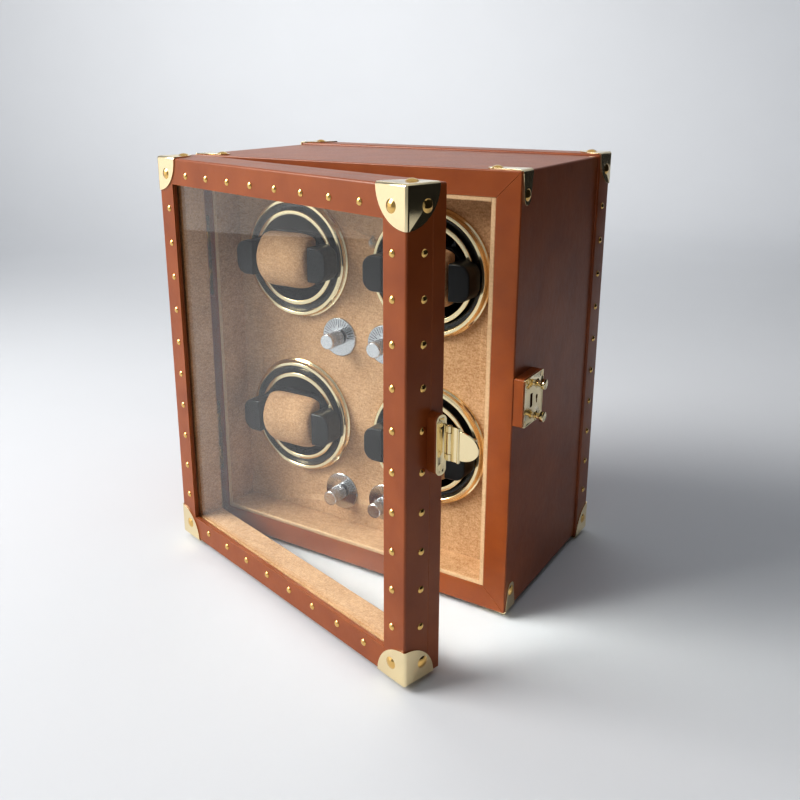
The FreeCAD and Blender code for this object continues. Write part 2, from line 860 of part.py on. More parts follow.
def strap():
    """L-shaped metal strap bent over the upper right front edge of the case."""
    thick = "cap_thickness"
    y = ("case_front + strap_setback", "case_front + strap_setback + strap_root_width")
    side_reach = "strap_side_length + strap_top_length"
    outer = box(
        "strap_outer", (f"case_right - ({side_reach})", f"case_right + {thick}"), y,
        (f"case_top - ({side_reach})", f"case_top + {thick}"))
    outer_round = round_edges(
        "strap_outer_round", outer, "edge_round + " + thick,
        lambda e: runs_along(e, "y") and lies_at(e, "x", f"case_right + {thick}")
        and lies_at(e, "z", f"case_top + {thick}"))
    inner = box(
        "strap_inner", (f"case_right - ({side_reach})", "case_right"), y,
        (f"case_top - ({side_reach})", "case_top"))
    inner_round = round_edges(
        "strap_inner_round", inner, "edge_round",
        lambda e: runs_along(e, "y") and lies_at(e, "x", "case_right")
        and lies_at(e, "z", "case_top"))
    skin = cut("strap_skin", outer_round, inner_round)
    middle = "case_front + strap_setback + strap_root_width / 2"
    tip = "strap_tip_width / 2"
    side_leg = body("strap_side_leg")
    side_end = "case_top - strap_side_length + " + tip
    pad(
        side_leg, "side_leg_pad", "YZ_Plane", "case_right - edge_round",
        f"case_right + 2 * {thick}",
        [(y[0], f"case_top + 2 * {thick}"), (f"{middle} - {tip}", side_end),
         (f"{middle} + {tip}", side_end), (y[1], f"case_top + 2 * {thick}")])
    side_tip = rod(
        "side_tip", "x", tip, ("case_right - edge_round", f"case_right + 2 * {thick}"),
        middle, side_end)
    top_leg = body("strap_top_leg")
    top_end = "case_right - strap_top_length + " + tip
    pad(
        top_leg, "top_leg_pad", "XY_Plane", "case_top - edge_round",
        f"case_top + 2 * {thick}",
        [(f"case_right + 2 * {thick}", y[0]), (f"case_right + 2 * {thick}", y[1]),
         (top_end, f"{middle} + {tip}"), (top_end, f"{middle} - {tip}")])
    top_tip = rod(
        "top_tip", "z", tip, top_end, middle,
        ("case_top - edge_round", f"case_top + 2 * {thick}"))
    legs = fuse("strap_legs", side_leg, side_tip, top_leg, top_tip)
    return common("strap_bent", skin, legs)


def case_corners():
    """Caps on the rear corners and straps on the front corners."""
    cap = corner_cap("rear", "band_right", "band_top", "case_rear", 1, "rear_cap_radius")
    node("rear_corner_caps", group("rear_caps", *four_ways("rear_cap", cap, "case_middle")))
    node("front_straps", group("straps", *four_ways("strap", strap(), "case_middle")))


def case_rivet_spots():
    """Rivets of the rear caps and the front straps."""
    spots = []
    side = value("cap_rivet_inset")
    along = value("rear_cap_side_rivet_inset")
    thick = value("cap_thickness")
    right = value("band_right")
    rear = value("case_rear")
    strap_y = value("case_front + strap_setback + strap_root_width / 2")
    ends = (
        (value("band_base"), value("case_base"), 1, "-z"),
        (value("band_top"), value("case_top"), -1, "+z"))
    for sign, sideways in ((-1, "-x"), (1, "+x")):
        for band_end, case_end, inward, endways in ends:
            x = sign * (right - side)
            z = band_end + inward * side
            spots.append((x, rear + thick, z, "+y"))
            spots.append((sign * (right + thick), rear - along, z, sideways))
            spots.append((x, rear - along, band_end - inward * thick, endways))
            case_side = sign * (value("case_right") + thick)
            strap_z = case_end + inward * value("strap_side_rivet")
            spots.append((case_side, strap_y, strap_z, sideways))
            strap_x = sign * value("case_right - strap_top_rivet")
            spots.append((strap_x, strap_y, case_end - inward * thick, endways))
    return spots


def case_nail_spots():
    """Nails on the sides and the rear face of the rear band."""
    middle = value("case_middle")
    stiles = [middle + z for z in nail_row(
        "case_height", "stile_nail_margin", "stile_nail_pitch")]
    rails = nail_row("case_width", "rail_nail_margin", "rail_nail_pitch")
    right = value("band_right")
    rear = value("case_rear")
    inset = value("nail_inset")
    side_y = rear - value("band_side_nail_inset")
    spots = []
    for z in stiles:
        spots += [(-right, side_y, z, "-x"), (right, side_y, z, "+x")]
        spots += [(sign * (right - inset), rear, z, "+y") for sign in (-1, 1)]
    for x in rails:
        spots += [(x, rear, value("band_base") + inset, "+y")]
        spots += [(x, rear, value("band_top") - inset, "+y")]
    return spots


def nails_and_rivets():
    """All domed nails and rivets, on the case and on the door."""
    nail = domed("nail_radius", "nail_height", "nail_shank_radius", "nail_shank_length")
    rivet = domed("rivet_radius", "rivet_height", "rivet_shank_radius", "rivet_shank_length")
    node("case_nails", scattered("nails_on_case", nail, case_nail_spots()))
    node("case_rivets", scattered("rivets_on_case", rivet, case_rivet_spots()))
    node("door_nails", scattered("nails_on_door", nail, door_nail_spots()), DOOR_SWING)
    node("door_rivets", scattered("rivets_on_door", rivet, door_rivet_spots()), DOOR_SWING)


def base_pad():
    """Felt-covered board under the shell, on which the case stands."""
    piece = body("base")
    pad(piece, "base_board", "XY_Plane", "0", "case_base",
        rectangle("-(case_right - base_inset)", "case_right - base_inset",
                  "case_front + base_inset", "band_front - base_rear_gap"))
    body_fillet(piece, "base_corners", "base_round", lambda e: runs_along(e, "z"))
    node("base_pad", piece)


def control_board():
    """Circuit board on standoffs on the inner face of the back panel."""
    rear = "rebate_floor - board_standoff"
    board = box(
        "board", ("-board_width / 2", "board_width / 2"),
        (f"{rear} - board_thickness", rear),
        ("case_middle - board_height / 2", "case_middle + board_height / 2"))
    chip = box(
        "chip", ("-chip_width / 2", "chip_width / 2"),
        (f"{rear} - board_thickness - chip_thickness", f"{rear} - board_thickness"),
        ("case_middle - chip_height / 2", "case_middle + chip_height / 2"))
    posts = [
        rod("standoff", "y", "standoff_radius",
            f"{across} * (board_width / 2 - standoff_inset)", (rear, "rebate_floor"),
            f"case_middle + {up} * (board_height / 2 - standoff_inset)")
        for across in (-1, 1) for up in (-1, 1)]
    node("control_board", fuse("control_board_joined", board, chip, *posts))


def dc_inlet():
    """Round power socket through the back panel, with a blind bore for the plug."""
    piece = turned("inlet", [
        ("0", "-inlet_length"),
        ("inlet_radius", "-inlet_length"),
        ("inlet_radius", "0"),
        ("inlet_flange_radius", "0"),
        ("inlet_flange_radius", "inlet_flange_thickness"),
        ("inlet_bore_radius", "inlet_flange_thickness"),
        ("inlet_bore_radius", "-inlet_bore_depth"),
        ("0", "-inlet_bore_depth"),
    ])
    place(piece, "inlet_offset", "back_face", "case_base + inlet_height_on_case")
    node("dc_inlet", piece)


def indicator_lens():
    """Clear faceted lens beside the upper right rotor, on a stem through the panel."""
    piece = body("lens")
    half = "lens_width / 2"
    tall = "lens_height / 2"

    def outline(share):
        return [
            (f"-{half} * {share}", "0"),
            (f"-{half} * {share} * lens_foot_share", f"-{tall} * {share}"),
            (f"{half} * {share} * lens_foot_share", f"-{tall} * {share}"),
            (f"{half} * {share}", "0"),
            ("0", f"{tall} * {share}"),
        ]

    base = sketch(piece, "lens_base", "XZ_Plane", "0", outline("1"))
    crown = sketch(piece, "lens_crown", "XZ_Plane", "lens_proud", outline("lens_crown_share"))
    loft = piece.newObject("PartDesign::AdditiveLoft", "lens_facets")
    loft.Profile = base
    loft.Sections = [crown]
    loft.Ruled = True
    pad(
        piece, "lens_stem", "XZ_Plane", "0", "lens_stem_length",
        circles=[("0", "0", "lens_stem_radius")])
    place(piece, "lens_x", "panel_front", "lens_z")
    node("indicator_lens", piece)


def rotor_bezel():
    """Convex gold ring on the panel."""
    piece = turned("bezel", [
        ("bezel_bore_radius", "0"),
        ("bezel_bore_radius", "-bezel_height"),
        ("bezel_radius", "-bezel_height"),
        ("bezel_radius", "-bezel_shoulder_height"),
        ("bezel_foot_radius", "-bezel_foot_height"),
        ("bezel_foot_radius", "0"),
    ])
    body_fillet(
        piece, "bezel_round_over", "bezel_round",
        lambda e: is_ring(e, "bezel_radius", "-bezel_height")
        or is_ring(e, "bezel_bore_radius", "-bezel_height"))
    return piece


def rotor_well():
    """Black housing behind the panel, with a grooved lip round the cup."""
    back_wall = "well_bore_radius + well_wall"
    return turned("well", [
        ("well_bore_radius", "well_back_front"),
        ("well_bore_radius", "-well_height + well_lip_drop"),
        ("(well_bore_radius + well_radius) / 2", "-well_height + well_groove_depth"),
        ("well_radius", "-well_height"),
        ("well_radius", "panel_thickness"),
        ("well_flange_radius", "panel_thickness"),
        ("well_flange_radius", "panel_thickness + well_flange_thickness"),
        (back_wall, "panel_thickness + well_flange_thickness"),
        (back_wall, "well_back_rear"),
        ("spindle_radius + well_shaft_clearance", "well_back_rear"),
        ("spindle_radius + well_shaft_clearance", "well_back_front"),
    ])


def gearmotor():
    """Gearbox and motor behind the well; its bore takes the cup's spindle."""
    front = "well_back_rear"
    bore = "spindle_radius + spindle_clearance"
    gearbox_end = f"{front} + gearbox_length"
    return turned("gearmotor", [
        (bore, front),
        ("gearbox_radius", front),
        ("gearbox_radius", gearbox_end),
        ("motor_radius", gearbox_end),
        ("motor_radius", f"{gearbox_end} + motor_length"),
        ("0", f"{gearbox_end} + motor_length"),
        ("0", f"{front} + spindle_grip + cup_back_gap"),
        (bore, f"{front} + spindle_grip + cup_back_gap"),
    ])


def at_rotor(piece):
    """Stand a turned piece at the upper left rotor, on the panel's front."""
    return place(piece, "-rotor_x", "panel_front", "rotor_upper")


def fixed_rotor_pieces():
    """The bezels, wells and motors, each as a group of four."""
    makers = (
        ("rotor_bezels", rotor_bezel),
        ("rotor_wells", rotor_well),
        ("winder_motors", gearmotor))
    for label, maker in makers:
        master = at_rotor(maker())
        node(label, group(label + "_four", *four_ways(label, master, "rotor_mid")))


def notch_tool():
    """Room for the cuff's ends: a box kept within a thin rim of the cup."""
    y = ("panel_front - cup_front - 2 * ring_height", "panel_front + notch_floor")
    slab = box(
        "notch_box", ("-rotor_x - cup_radius", "-rotor_x + cup_radius"), y,
        ("rotor_upper - notch_height / 2", "rotor_upper + notch_height / 2"))
    disc = rod("notch_disc", "y", "cup_radius - notch_rim", "-rotor_x", y, "rotor_upper")
    return common("notch", slab, disc)


def cup(notch):
    """Black bowl with a hub and the spindle that the gearmotor turns."""
    piece = turned("bowl", [
        ("0", "cup_depth"),
        ("cup_radius - cup_wall", "cup_depth"),
        ("cup_radius - cup_wall", "-cup_front"),
        ("cup_radius", "-cup_front"),
        ("cup_radius", "cup_depth + cup_floor"),
        ("cup_hub_radius", "cup_depth + cup_floor"),
        ("cup_hub_radius", "cup_back"),
        ("spindle_radius", "cup_back"),
        ("spindle_radius", "well_back_rear + spindle_grip"),
        ("0", "well_back_rear + spindle_grip"),
    ])
    return cut("cup_notched", at_rotor(piece), notch)


def cup_ring(notch):
    """Gold ring on the front edge of the cup."""
    inner = "cup_radius - ring_width"
    front = "-cup_front - ring_height"
    piece = turned("ring", [
        (inner, "-cup_front"), (inner, front), ("cup_radius", front),
        ("cup_radius", "-cup_front")])
    body_fillet(
        piece, "ring_round_over", "ring_round",
        lambda e: is_ring(e, inner, front) or is_ring(e, "cup_radius", front))
    return cut("ring_notched", at_rotor(piece), notch)


def cuff_frame():
    """Black carrier: a tapered back plate between two rounded end blocks."""
    piece = body("carrier")
    half = "cuff_plate_width / 2"
    tall = "cuff_plate_height / 2"
    taper = "cuff_plate_taper"
    plate = [
        (f"-{half}", f"-({tall} - {taper})"), (f"-{half} + {taper}", f"-{tall}"),
        (f"{half} - {taper}", f"-{tall}"), (half, f"-({tall} - {taper})"),
        (half, f"{tall} - {taper}"), (f"{half} - {taper}", tall),
        (f"-{half} + {taper}", tall), (f"-{half}", f"{tall} - {taper}")]
    pad(piece, "carrier_plate", "XZ_Plane", "cuff_back - cuff_plate_thickness",
        "cuff_back", plate)
    end = "cuff_end_height / 2"
    inner = "cuff_length / 2 - cuff_end_width"
    ring_face = "-cup_front - ring_height - cuff_ring_gap"
    tail = "cup_radius - notch_rim - cuff_tail_clearance - cuff_tail_drop"
    pad(piece, "carrier_tail", "XZ_Plane", ring_face, "cuff_back",
        rectangle(f"-({tail})", tail, f"-{end}", end))
    pocket(piece, "carrier_seat", "XZ_Plane", ring_face, "cuff_back - cuff_plate_thickness",
           rectangle(f"-({inner})", inner, "-cuff_end_height", "cuff_end_height"))
    for side, sign in (("left", "-"), ("right", "")):
        corners = sorted([f"{sign}({inner})", f"{sign}cuff_length / 2"], key=value)
        pad(piece, "end_" + side, "XZ_Plane", "-cuff_end_front", ring_face,
            rectangle(*corners, f"-{end}", end))
    body_fillet(
        piece, "end_corners", "cuff_end_round",
        lambda e: runs_along(e, "y")
        and abs(abs(e.CenterOfMass.x) - value("cuff_length / 2")) < 1e-4)
    body_fillet(
        piece, "end_edges", "cuff_edge_round",
        lambda e: lies_at(e, "y", "-cuff_end_front")
        and abs(e.CenterOfMass.x) > value("cuff_length / 2 - cuff_end_width") + 1e-4)
    return at_rotor(piece)


def cuff_pad():
    """Suede pad: crowned in front, with ends drawn in, as a loft of five sections."""
    half_width = value("pad_width") / 2
    half_height = value("pad_height") / 2
    front = -value("recess_depth") + value("pad_front_gap")
    back = value("cuff_back - cuff_plate_thickness - pad_seat_gap")
    crown = value("pad_crown")
    bulge = value("pad_bulge")
    draw = value("pad_end_draw")
    shoulder_draw = value("pad_shoulder_draw")
    end = half_width - value("pad_end_length")
    sections = []
    stations = (
        (-half_width, draw), (-end, shoulder_draw), (0, 0), (end, shoulder_draw),
        (half_width, draw))
    for x, inset in stations:
        height = half_height - bulge - inset
        shoulder = front + crown + inset
        sections.append(Part.Wire([
            Part.Arc(Vector(x, shoulder, -height), Vector(x, front + inset, 0),
                     Vector(x, shoulder, height)).toShape(),
            Part.Arc(Vector(x, shoulder, height),
                     Vector(x, (shoulder + back) / 2, height + bulge),
                     Vector(x, back, height)).toShape(),
            Part.LineSegment(Vector(x, back, height), Vector(x, back, -height)).toShape(),
            Part.Arc(Vector(x, back, -height),
                     Vector(x, (shoulder + back) / 2, -height - bulge),
                     Vector(x, shoulder, -height)).toShape(),
        ]))
    piece = doc.addObject("Part::Feature", "cushion")
    piece.Shape = Part.makeLoft(sections, True, False)
    return at_rotor(piece)


def moving_rotor_pieces():
    """The cup, ring, carrier and pad of each of the four rotors."""
    notch = notch_tool()
    masters = (
        ("cup", cup(notch)), ("cup_ring", cup_ring(notch)),
        ("cuff_frame", cuff_frame()), ("cuff_pad", cuff_pad()))
    for label, master in masters:
        copies = four_ways(label, master, "rotor_mid")
        for number, piece in enumerate(copies, 1):
            node(f"{label}_{number}", piece)


def dial_plate():
    """Round metal plate under a knob."""
    bore = "bush_radius + dial_bore_gap"
    return turned("dial", [
        (bore, "0"), (bore, "-dial_thickness"), ("dial_radius", "-dial_thickness"),
        ("dial_radius", "0")])


def potentiometer():
    """Control behind the panel, with a bush through the panel and the dial."""
    piece = body("control")
    half = "control_width / 2"
    bush_front = "-dial_thickness - bush_proud"
    rear = "panel_thickness + control_depth"
    pad(piece, "control_case", "XZ_Plane", "panel_thickness", rear,
        rectangle(f"-{half}", half, f"-{half}", half))
    pad(piece, "control_bush", "XZ_Plane", bush_front, "panel_thickness",
        circles=[("0", "0", "bush_radius")])
    pocket(piece, "control_bore", "XZ_Plane", bush_front,
           "panel_thickness + control_bore_depth",
           circles=[("0", "0", "knob_spindle_radius + spindle_clearance")])
    return piece


def knob():
    """Turned aluminium knob with straight grooves and an integral spindle."""
    base = "-dial_thickness - knob_base_gap"
    end = f"{base} - knob_length"
    piece = turned("knob", [
        ("0", f"{base} + knob_spindle_length"),
        ("0", end),
        ("knob_radius - knob_bevel", end),
        ("knob_radius", f"{end} + knob_bevel"),
        ("knob_radius", base),
        ("knob_spindle_radius", base),
        ("knob_spindle_radius", f"{base} + knob_spindle_length"),
    ])
    half = "knob_groove_width / 2"
    groove = pocket(
        piece, "groove", "XZ_Plane", f"{end} + knob_groove_end", f"{base} + knob_base_gap",
        rectangle("knob_radius - knob_groove_depth", "knob_radius + knob_bevel",
                  f"-{half}", half))
    pattern = piece.newObject("PartDesign::PolarPattern", "grooves")
    pattern.Originals = [groove]
    pattern.Axis = (groove.Profile[0], ["N_Axis"])
    pattern.Angle = 360.0
    pattern.Occurrences = int(value("knob_grooves"))
    piece.Tip = pattern
    return piece


def controls():
    """Dial plates and controls as groups of four, and four separate knobs."""
    makers = (("dial_plates", dial_plate), ("potentiometers", potentiometer))
    for label, maker in makers:
        master = place(maker(), "-knob_x", "panel_front", "knob_upper")
        node(label, group(label + "_four", *four_ways(label, master, "knob_mid")))
    master = place(knob(), "-knob_x", "panel_front", "knob_upper")
    for number, piece in enumerate(four_ways("knob", master, "knob_mid"), 1):
        node(f"knob_{number}", piece)


def lock_screw_spots():
    """Screws at the corners of the lock plate."""
    inset = value("lock_screw_inset")
    ys = (value("lock_front") + inset, value("lock_rear") - inset)
    reach = value("lock_height") / 2 - inset
    middle = value("lock_middle")
    face = value("lock_plate_outer")
    return [(face, y, middle + sign * reach, "+x") for y in ys for sign in (-1, 1)]


def lock(screw_holes):
    """Covered block with the mechanism's hollow, plate, bolt and two posts."""
    half = "lock_height / 2"
    outline = rectangle("lock_front", "lock_rear", f"lock_middle - {half}",
                        f"lock_middle + {half}")
    block = body("lock_block_body")
    pad(block, "lock_block_pad", "YZ_Plane", "case_right", "lock_plate_inner", outline)
    body_fillet(block, "lock_block_round", "lock_plate_round",
                lambda e: runs_along(e, "x"))
    pocket(
        block, "lock_hollow", "YZ_Plane", "lock_cavity_floor", "lock_plate_inner",
        rectangle("lock_front + lock_wall", "lock_rear - lock_wall",
                  f"lock_middle - {half} + lock_end_wall",
                  f"lock_middle + {half} - lock_end_wall"))
    node("lock_body", block)

    plate = body("lock_plate_body")
    posts = [
        ("post_y", f"lock_middle {sign} post_spread / 2", "post_radius + pin_clearance")
        for sign in "+-"]
    key_y = "lock_front + keyhole_offset"
    pad(plate, "lock_plate_pad", "YZ_Plane", "lock_plate_inner", "lock_plate_outer",
        outline, posts + [(key_y, "lock_middle", "keyhole_radius")])
    body_fillet(plate, "lock_plate_corners", "lock_plate_round",
                lambda e: runs_along(e, "x"))
    pocket(
        plate, "keyhole_slot", "YZ_Plane", "lock_plate_inner", "lock_plate_outer",
        rectangle(f"{key_y} - keyhole_slot_width / 2", f"{key_y} + keyhole_slot_width / 2",
                  "lock_middle - keyhole_slot_length", "lock_middle"))
    slot_half = "catch_height / 2 + catch_slot_gap"
    pocket(
        plate, "catch_slot", "YZ_Plane", "lock_plate_inner", "lock_plate_outer",
        rectangle("catch_front - catch_slot_gap", "slot_rear",
                  f"lock_middle - ({slot_half})", f"lock_middle + {slot_half}"))
    node("lock_plate", cut("lock_plate_cut", plate, screw_holes))

    bolt = body("bolt_body")
    bolt_x = ("lock_cavity_floor + bolt_floor_gap",
              "lock_cavity_floor + bolt_floor_gap + bolt_thickness")
    bolt_y = "slot_rear + bolt_rest_gap"
    pad(bolt, "bolt_tip", "YZ_Plane", *bolt_x,
        rectangle(bolt_y, f"{bolt_y} + bolt_tip_length",
                  "lock_middle - bolt_tip_height / 2", "lock_middle + bolt_tip_height / 2"))
    pad(bolt, "bolt_plate", "YZ_Plane", *bolt_x,
        rectangle(f"{bolt_y} + bolt_tip_length", f"{bolt_y} + bolt_length",
                  "lock_middle - bolt_height / 2", "lock_middle + bolt_height / 2"))
    node("lock_bolt", bolt)

    for label, sign in (("lock_post_upper", 1), ("lock_post_lower", -1)):
        post = lock_post(label + "_turned")
        post.Placement = FreeCAD.Placement(Vector(), FACING["+x"])
        place(post, "lock_plate_outer", "post_y", f"lock_middle + {sign} * post_spread / 2")
        node(label, post)


def lock_post(name):
    """Spool-headed post whose flange stays behind the plate; zero depth is the plate's face."""
    flange = "lock_plate_thickness + post_flange_gap"
    collar = "post_travel + post_flange_gap"
    return turned(name, [
        ("0", f"{flange} + post_flange_thickness"),
        ("0", "-post_length"),
        ("post_head_radius - post_flange_gap", "-post_length"),
        ("post_head_radius", "-post_length + post_flange_gap"),
        ("post_head_radius", "-post_length + post_head_length"),
        ("post_radius", "-post_length + post_head_length + post_collar_length / 2"),
        ("post_radius", f"-({collar}) - post_collar_length"),
        ("post_collar_radius", f"-({collar}) - post_collar_length / 2"),
        ("post_collar_radius", f"-({collar})"),
        ("post_radius", f"-({collar})"),
        ("post_radius", flange),
        ("post_flange_radius", flange),
        ("post_flange_radius", f"{flange} + post_flange_thickness"),
    ])


def hinge_spans():
    """Low and high places of the two door hinges."""
    low = "case_base + hinge_inset"
    high = "case_top - hinge_inset"
    return [(low, f"{low} + hinge_length"), (f"{high} - hinge_length", high)]


def hinge_screw_spots(face, facing):
    """Three screws in each of two leaves."""
    x = value("case_left + leaf_width / 2")
    spots = []
    for low, high in hinge_spans():
        ends = value("knuckle_length") / 2
        middle = (value(low) + value(high)) / 2
        for z in (value(low) + ends, middle, value(high) - ends):
            spots.append((x, value(face), z, facing))
    return spots


def hinge_leaves(name, y, own, screw_holes):
    """Two leaves let into the edge, each with its knuckles on the hinge line.

    The own spans are low and high places of the knuckles within one hinge.
    """
    leaves = []
    bores = []
    for number, (low, high) in enumerate(hinge_spans()):
        pieces = [box(
            name + "_leaf", ("case_left", "case_left + leaf_width"), y, (low, high))]
        for start, stop in own(low, high):
            pieces.append(box(
                name + "_tab", ("hinge_x", "case_left"), y, (start, stop)))
            pieces.append(rod(
                name + "_knuckle", "z", "knuckle_radius", "hinge_x", "hinge_y",
                (start, stop)))
        leaves.append(fuse(f"{name}_joined_{number}", *pieces))
        bores.append(rod(
            name + "_bore", "z", "hinge_pin_radius + pin_clearance", "hinge_x",
            "hinge_y", (f"{low} - hinge_length", f"{high} + hinge_length")))
    return cut(name + "_cut", group(name + "_pair", *leaves), *bores, screw_holes)


def case_knuckles(low, high):
    """The two outer knuckles of a hinge."""
    return [(low, f"{low} + knuckle_length"), (f"{high} - knuckle_length", high)]


def door_knuckles(low, high):
    """The middle knuckle of a hinge."""
    return [(f"{low} + knuckle_length + knuckle_gap", f"{high} - knuckle_length - knuckle_gap")]


def hinges(case_holes, door_holes):
    """Leaves on the case and on the door, and the pins through their knuckles."""
    case_y = ("case_front", "case_front + leaf_thickness")
    door_y = ("door_back - leaf_thickness", "door_back")
    node("hinge_leaves_case", hinge_leaves("case_hinge", case_y, case_knuckles, case_holes))
    node(
        "hinge_leaves_door",
        hinge_leaves("door_hinge", door_y, door_knuckles, door_holes), DOOR_SWING)
    pins = []
    for number, (low, high) in enumerate(hinge_spans()):
        shaft = rod("pin_shaft", "z", "hinge_pin_radius", "hinge_x", "hinge_y", (low, high))
        foot = rod("pin_foot", "z", "pin_head_radius", "hinge_x", "hinge_y",
                   (f"{low} - pin_head_height", low))
        head = rod("pin_head", "z", "pin_head_radius", "hinge_x", "hinge_y",
                   (high, f"{high} + pin_head_height"))
        pins.append(fuse(f"pin_{number}", shaft, foot, head))
    node("hinge_pins", group("both_pins", *pins))


def door_frame():
    """Board frame with a lip in front of the glass and mortises for the leaves."""
    skin = "door_leather"
    front = box(
        "door_front_part", (f"case_left + {skin}", f"case_right - {skin}"),
        (f"door_front + {skin}", "seam_front + seam_width"),
        (f"case_base + {skin}", f"case_top - {skin}"))
    rear = box(
        "door_rear_part", ("case_left", "case_right"),
        ("seam_front + seam_width", "door_back"), ("case_base", "case_top"))
    rear_round = round_edges(
        "door_rear_round", rear, "edge_round", lambda e: runs_along(e, "y"))
    solid = fuse("door_solid", front, rear_round)
    opening = box(
        "door_opening", ("case_left + door_rail", "case_right - door_rail"),
        ("door_front", "case_front"), ("case_base + door_rail", "case_top - door_rail"))
    inner = "door_rail - lining_thickness"
    rebate = box(
        "glass_rebate", (f"case_left + {inner}", f"case_right - ({inner})"),
        ("glass_front", "case_front"), (f"case_base + {inner}", f"case_top - ({inner})"))
    mortises = [
        box("mortise", ("case_left - hinge_offset", "case_left + leaf_width"),
            ("door_back - leaf_thickness", "case_front"), span)
        for span in hinge_spans()]
    node("door_frame", cut("door_frame_cut", solid, opening, rebate, *mortises), DOOR_SWING)


def door_leather():
    """Four mitred leather strips that wrap the face and sides of the door."""
    y = ("door_front", "seam_front")
    outer = box("wrap_outer", ("case_left", "case_right"), y, ("case_base", "case_top"))
    rounded = round_edges(
        "wrap_round", outer, "edge_round",
        lambda e: runs_along(e, "y") or lies_at(e, "y", "door_front"))
    skin = "door_leather"
    core = box(
        "wrap_core", (f"case_left + {skin}", f"case_right - {skin}"),
        (f"door_front + {skin}", "seam_front"), (f"case_base + {skin}", f"case_top - {skin}"))
    opening = box(
        "wrap_opening", ("case_left + door_rail", "case_right - door_rail"), y,
        ("case_base + door_rail", "case_top - door_rail"))
    slabs = mitre_cuts("wrap_mitre", "case_right", "case_base", "case_top", y)
    node("door_leather", cut("wrap_cut", rounded, core, opening, *slabs), DOOR_SWING)


def door_lining():
    """Four suede-covered boards inside the door, behind the glass."""
    y = ("glass_rear", "door_back - lining_setback")
    low_x = "case_left + door_rail"
    high_x = "case_right - door_rail"
    low_z = "case_base + door_rail"
    high_z = "case_top - door_rail"
    thick = "lining_thickness"
    full = (f"{low_z} - {thick}", f"{high_z} + {thick}")
    boards = [
        box("lining_left", (f"{low_x} - {thick}", low_x), y, full),
        box("lining_right", (high_x, f"{high_x} + {thick}"), y, full),
        box("lining_base", (low_x, high_x), y, (f"{low_z} - {thick}", low_z)),
        box("lining_top", (low_x, high_x), y, (high_z, f"{high_z} + {thick}")),
    ]
    node("door_lining", group("lining_boards", *boards), DOOR_SWING)


def door_glass():
    """Flat pane in the rebate, held by the lining."""
    inner = "door_rail - lining_thickness + glass_gap"
    pane = body("pane")
    pad(
        pane, "pane_pad", "XZ_Plane", "glass_front", "glass_rear",
        rectangle(f"case_left + {inner}", f"case_right - ({inner})",
                  f"case_base + {inner}", f"case_top - ({inner})"))
    node("door_glass", pane, DOOR_SWING)


def door_nail_spots():
    """Nails on the face and the two upright sides of the door."""
    middle = value("case_middle")
    stiles = [middle + z for z in nail_row(
        "case_height", "stile_nail_margin", "stile_nail_pitch")]
    rails = nail_row("case_width", "rail_nail_margin", "rail_nail_pitch")
    right = value("case_right")
    front = value("door_front")
    inset = value("nail_inset")
    side_y = front + value("door_side_nail_inset")
    spots = []
    for z in stiles:
        spots += [(-right, side_y, z, "-x"), (right, side_y, z, "+x")]
        spots += [(sign * (right - inset), front, z, "-y") for sign in (-1, 1)]
    for x in rails:
        spots += [(x, front, value("case_base") + inset, "-y")]
        spots += [(x, front, value("case_top") - inset, "-y")]
    return spots


def door_rivet_spots():
    """Three rivets on each corner cap of the door."""
    inset = value("cap_rivet_inset")
    along = value("cap_side_rivet_inset")
    thick = value("cap_thickness")
    right = value("case_right")
    front = value("door_front")
    spots = []
    ends = ((value("case_base"), 1, "-z"), (value("case_top"), -1, "+z"))
    for sign, sideways in ((-1, "-x"), (1, "+x")):
        for end, inward, endways in ends:
            x = sign * (right - inset)
            z = end + inward * inset
            spots.append((x, front - thick, z, "-y"))
            spots.append((sign * (right + thick), front + along, z, sideways))
            spots.append((x, front + along, end - inward * thick, endways))
    return spots


def door_corners():
    """Caps on the four front corners of the door."""
    cap = corner_cap("door", "case_right", "case_top", "door_front", -1, "door_cap_radius")
    node("door_corner_caps",
         group("door_caps", *four_ways("door_cap", cap, "case_middle")), DOOR_SWING)


def hasp_screw_spots():
    """Two screws in the base plate of the hasp."""
    y = value("hasp_front + hasp_width / 2")
    reach = value("hasp_screw_spread") / 2
    middle = value("lock_middle")
    return [(value("lock_plate_outer"), y, middle + sign * reach, "+x") for sign in (-1, 1)]


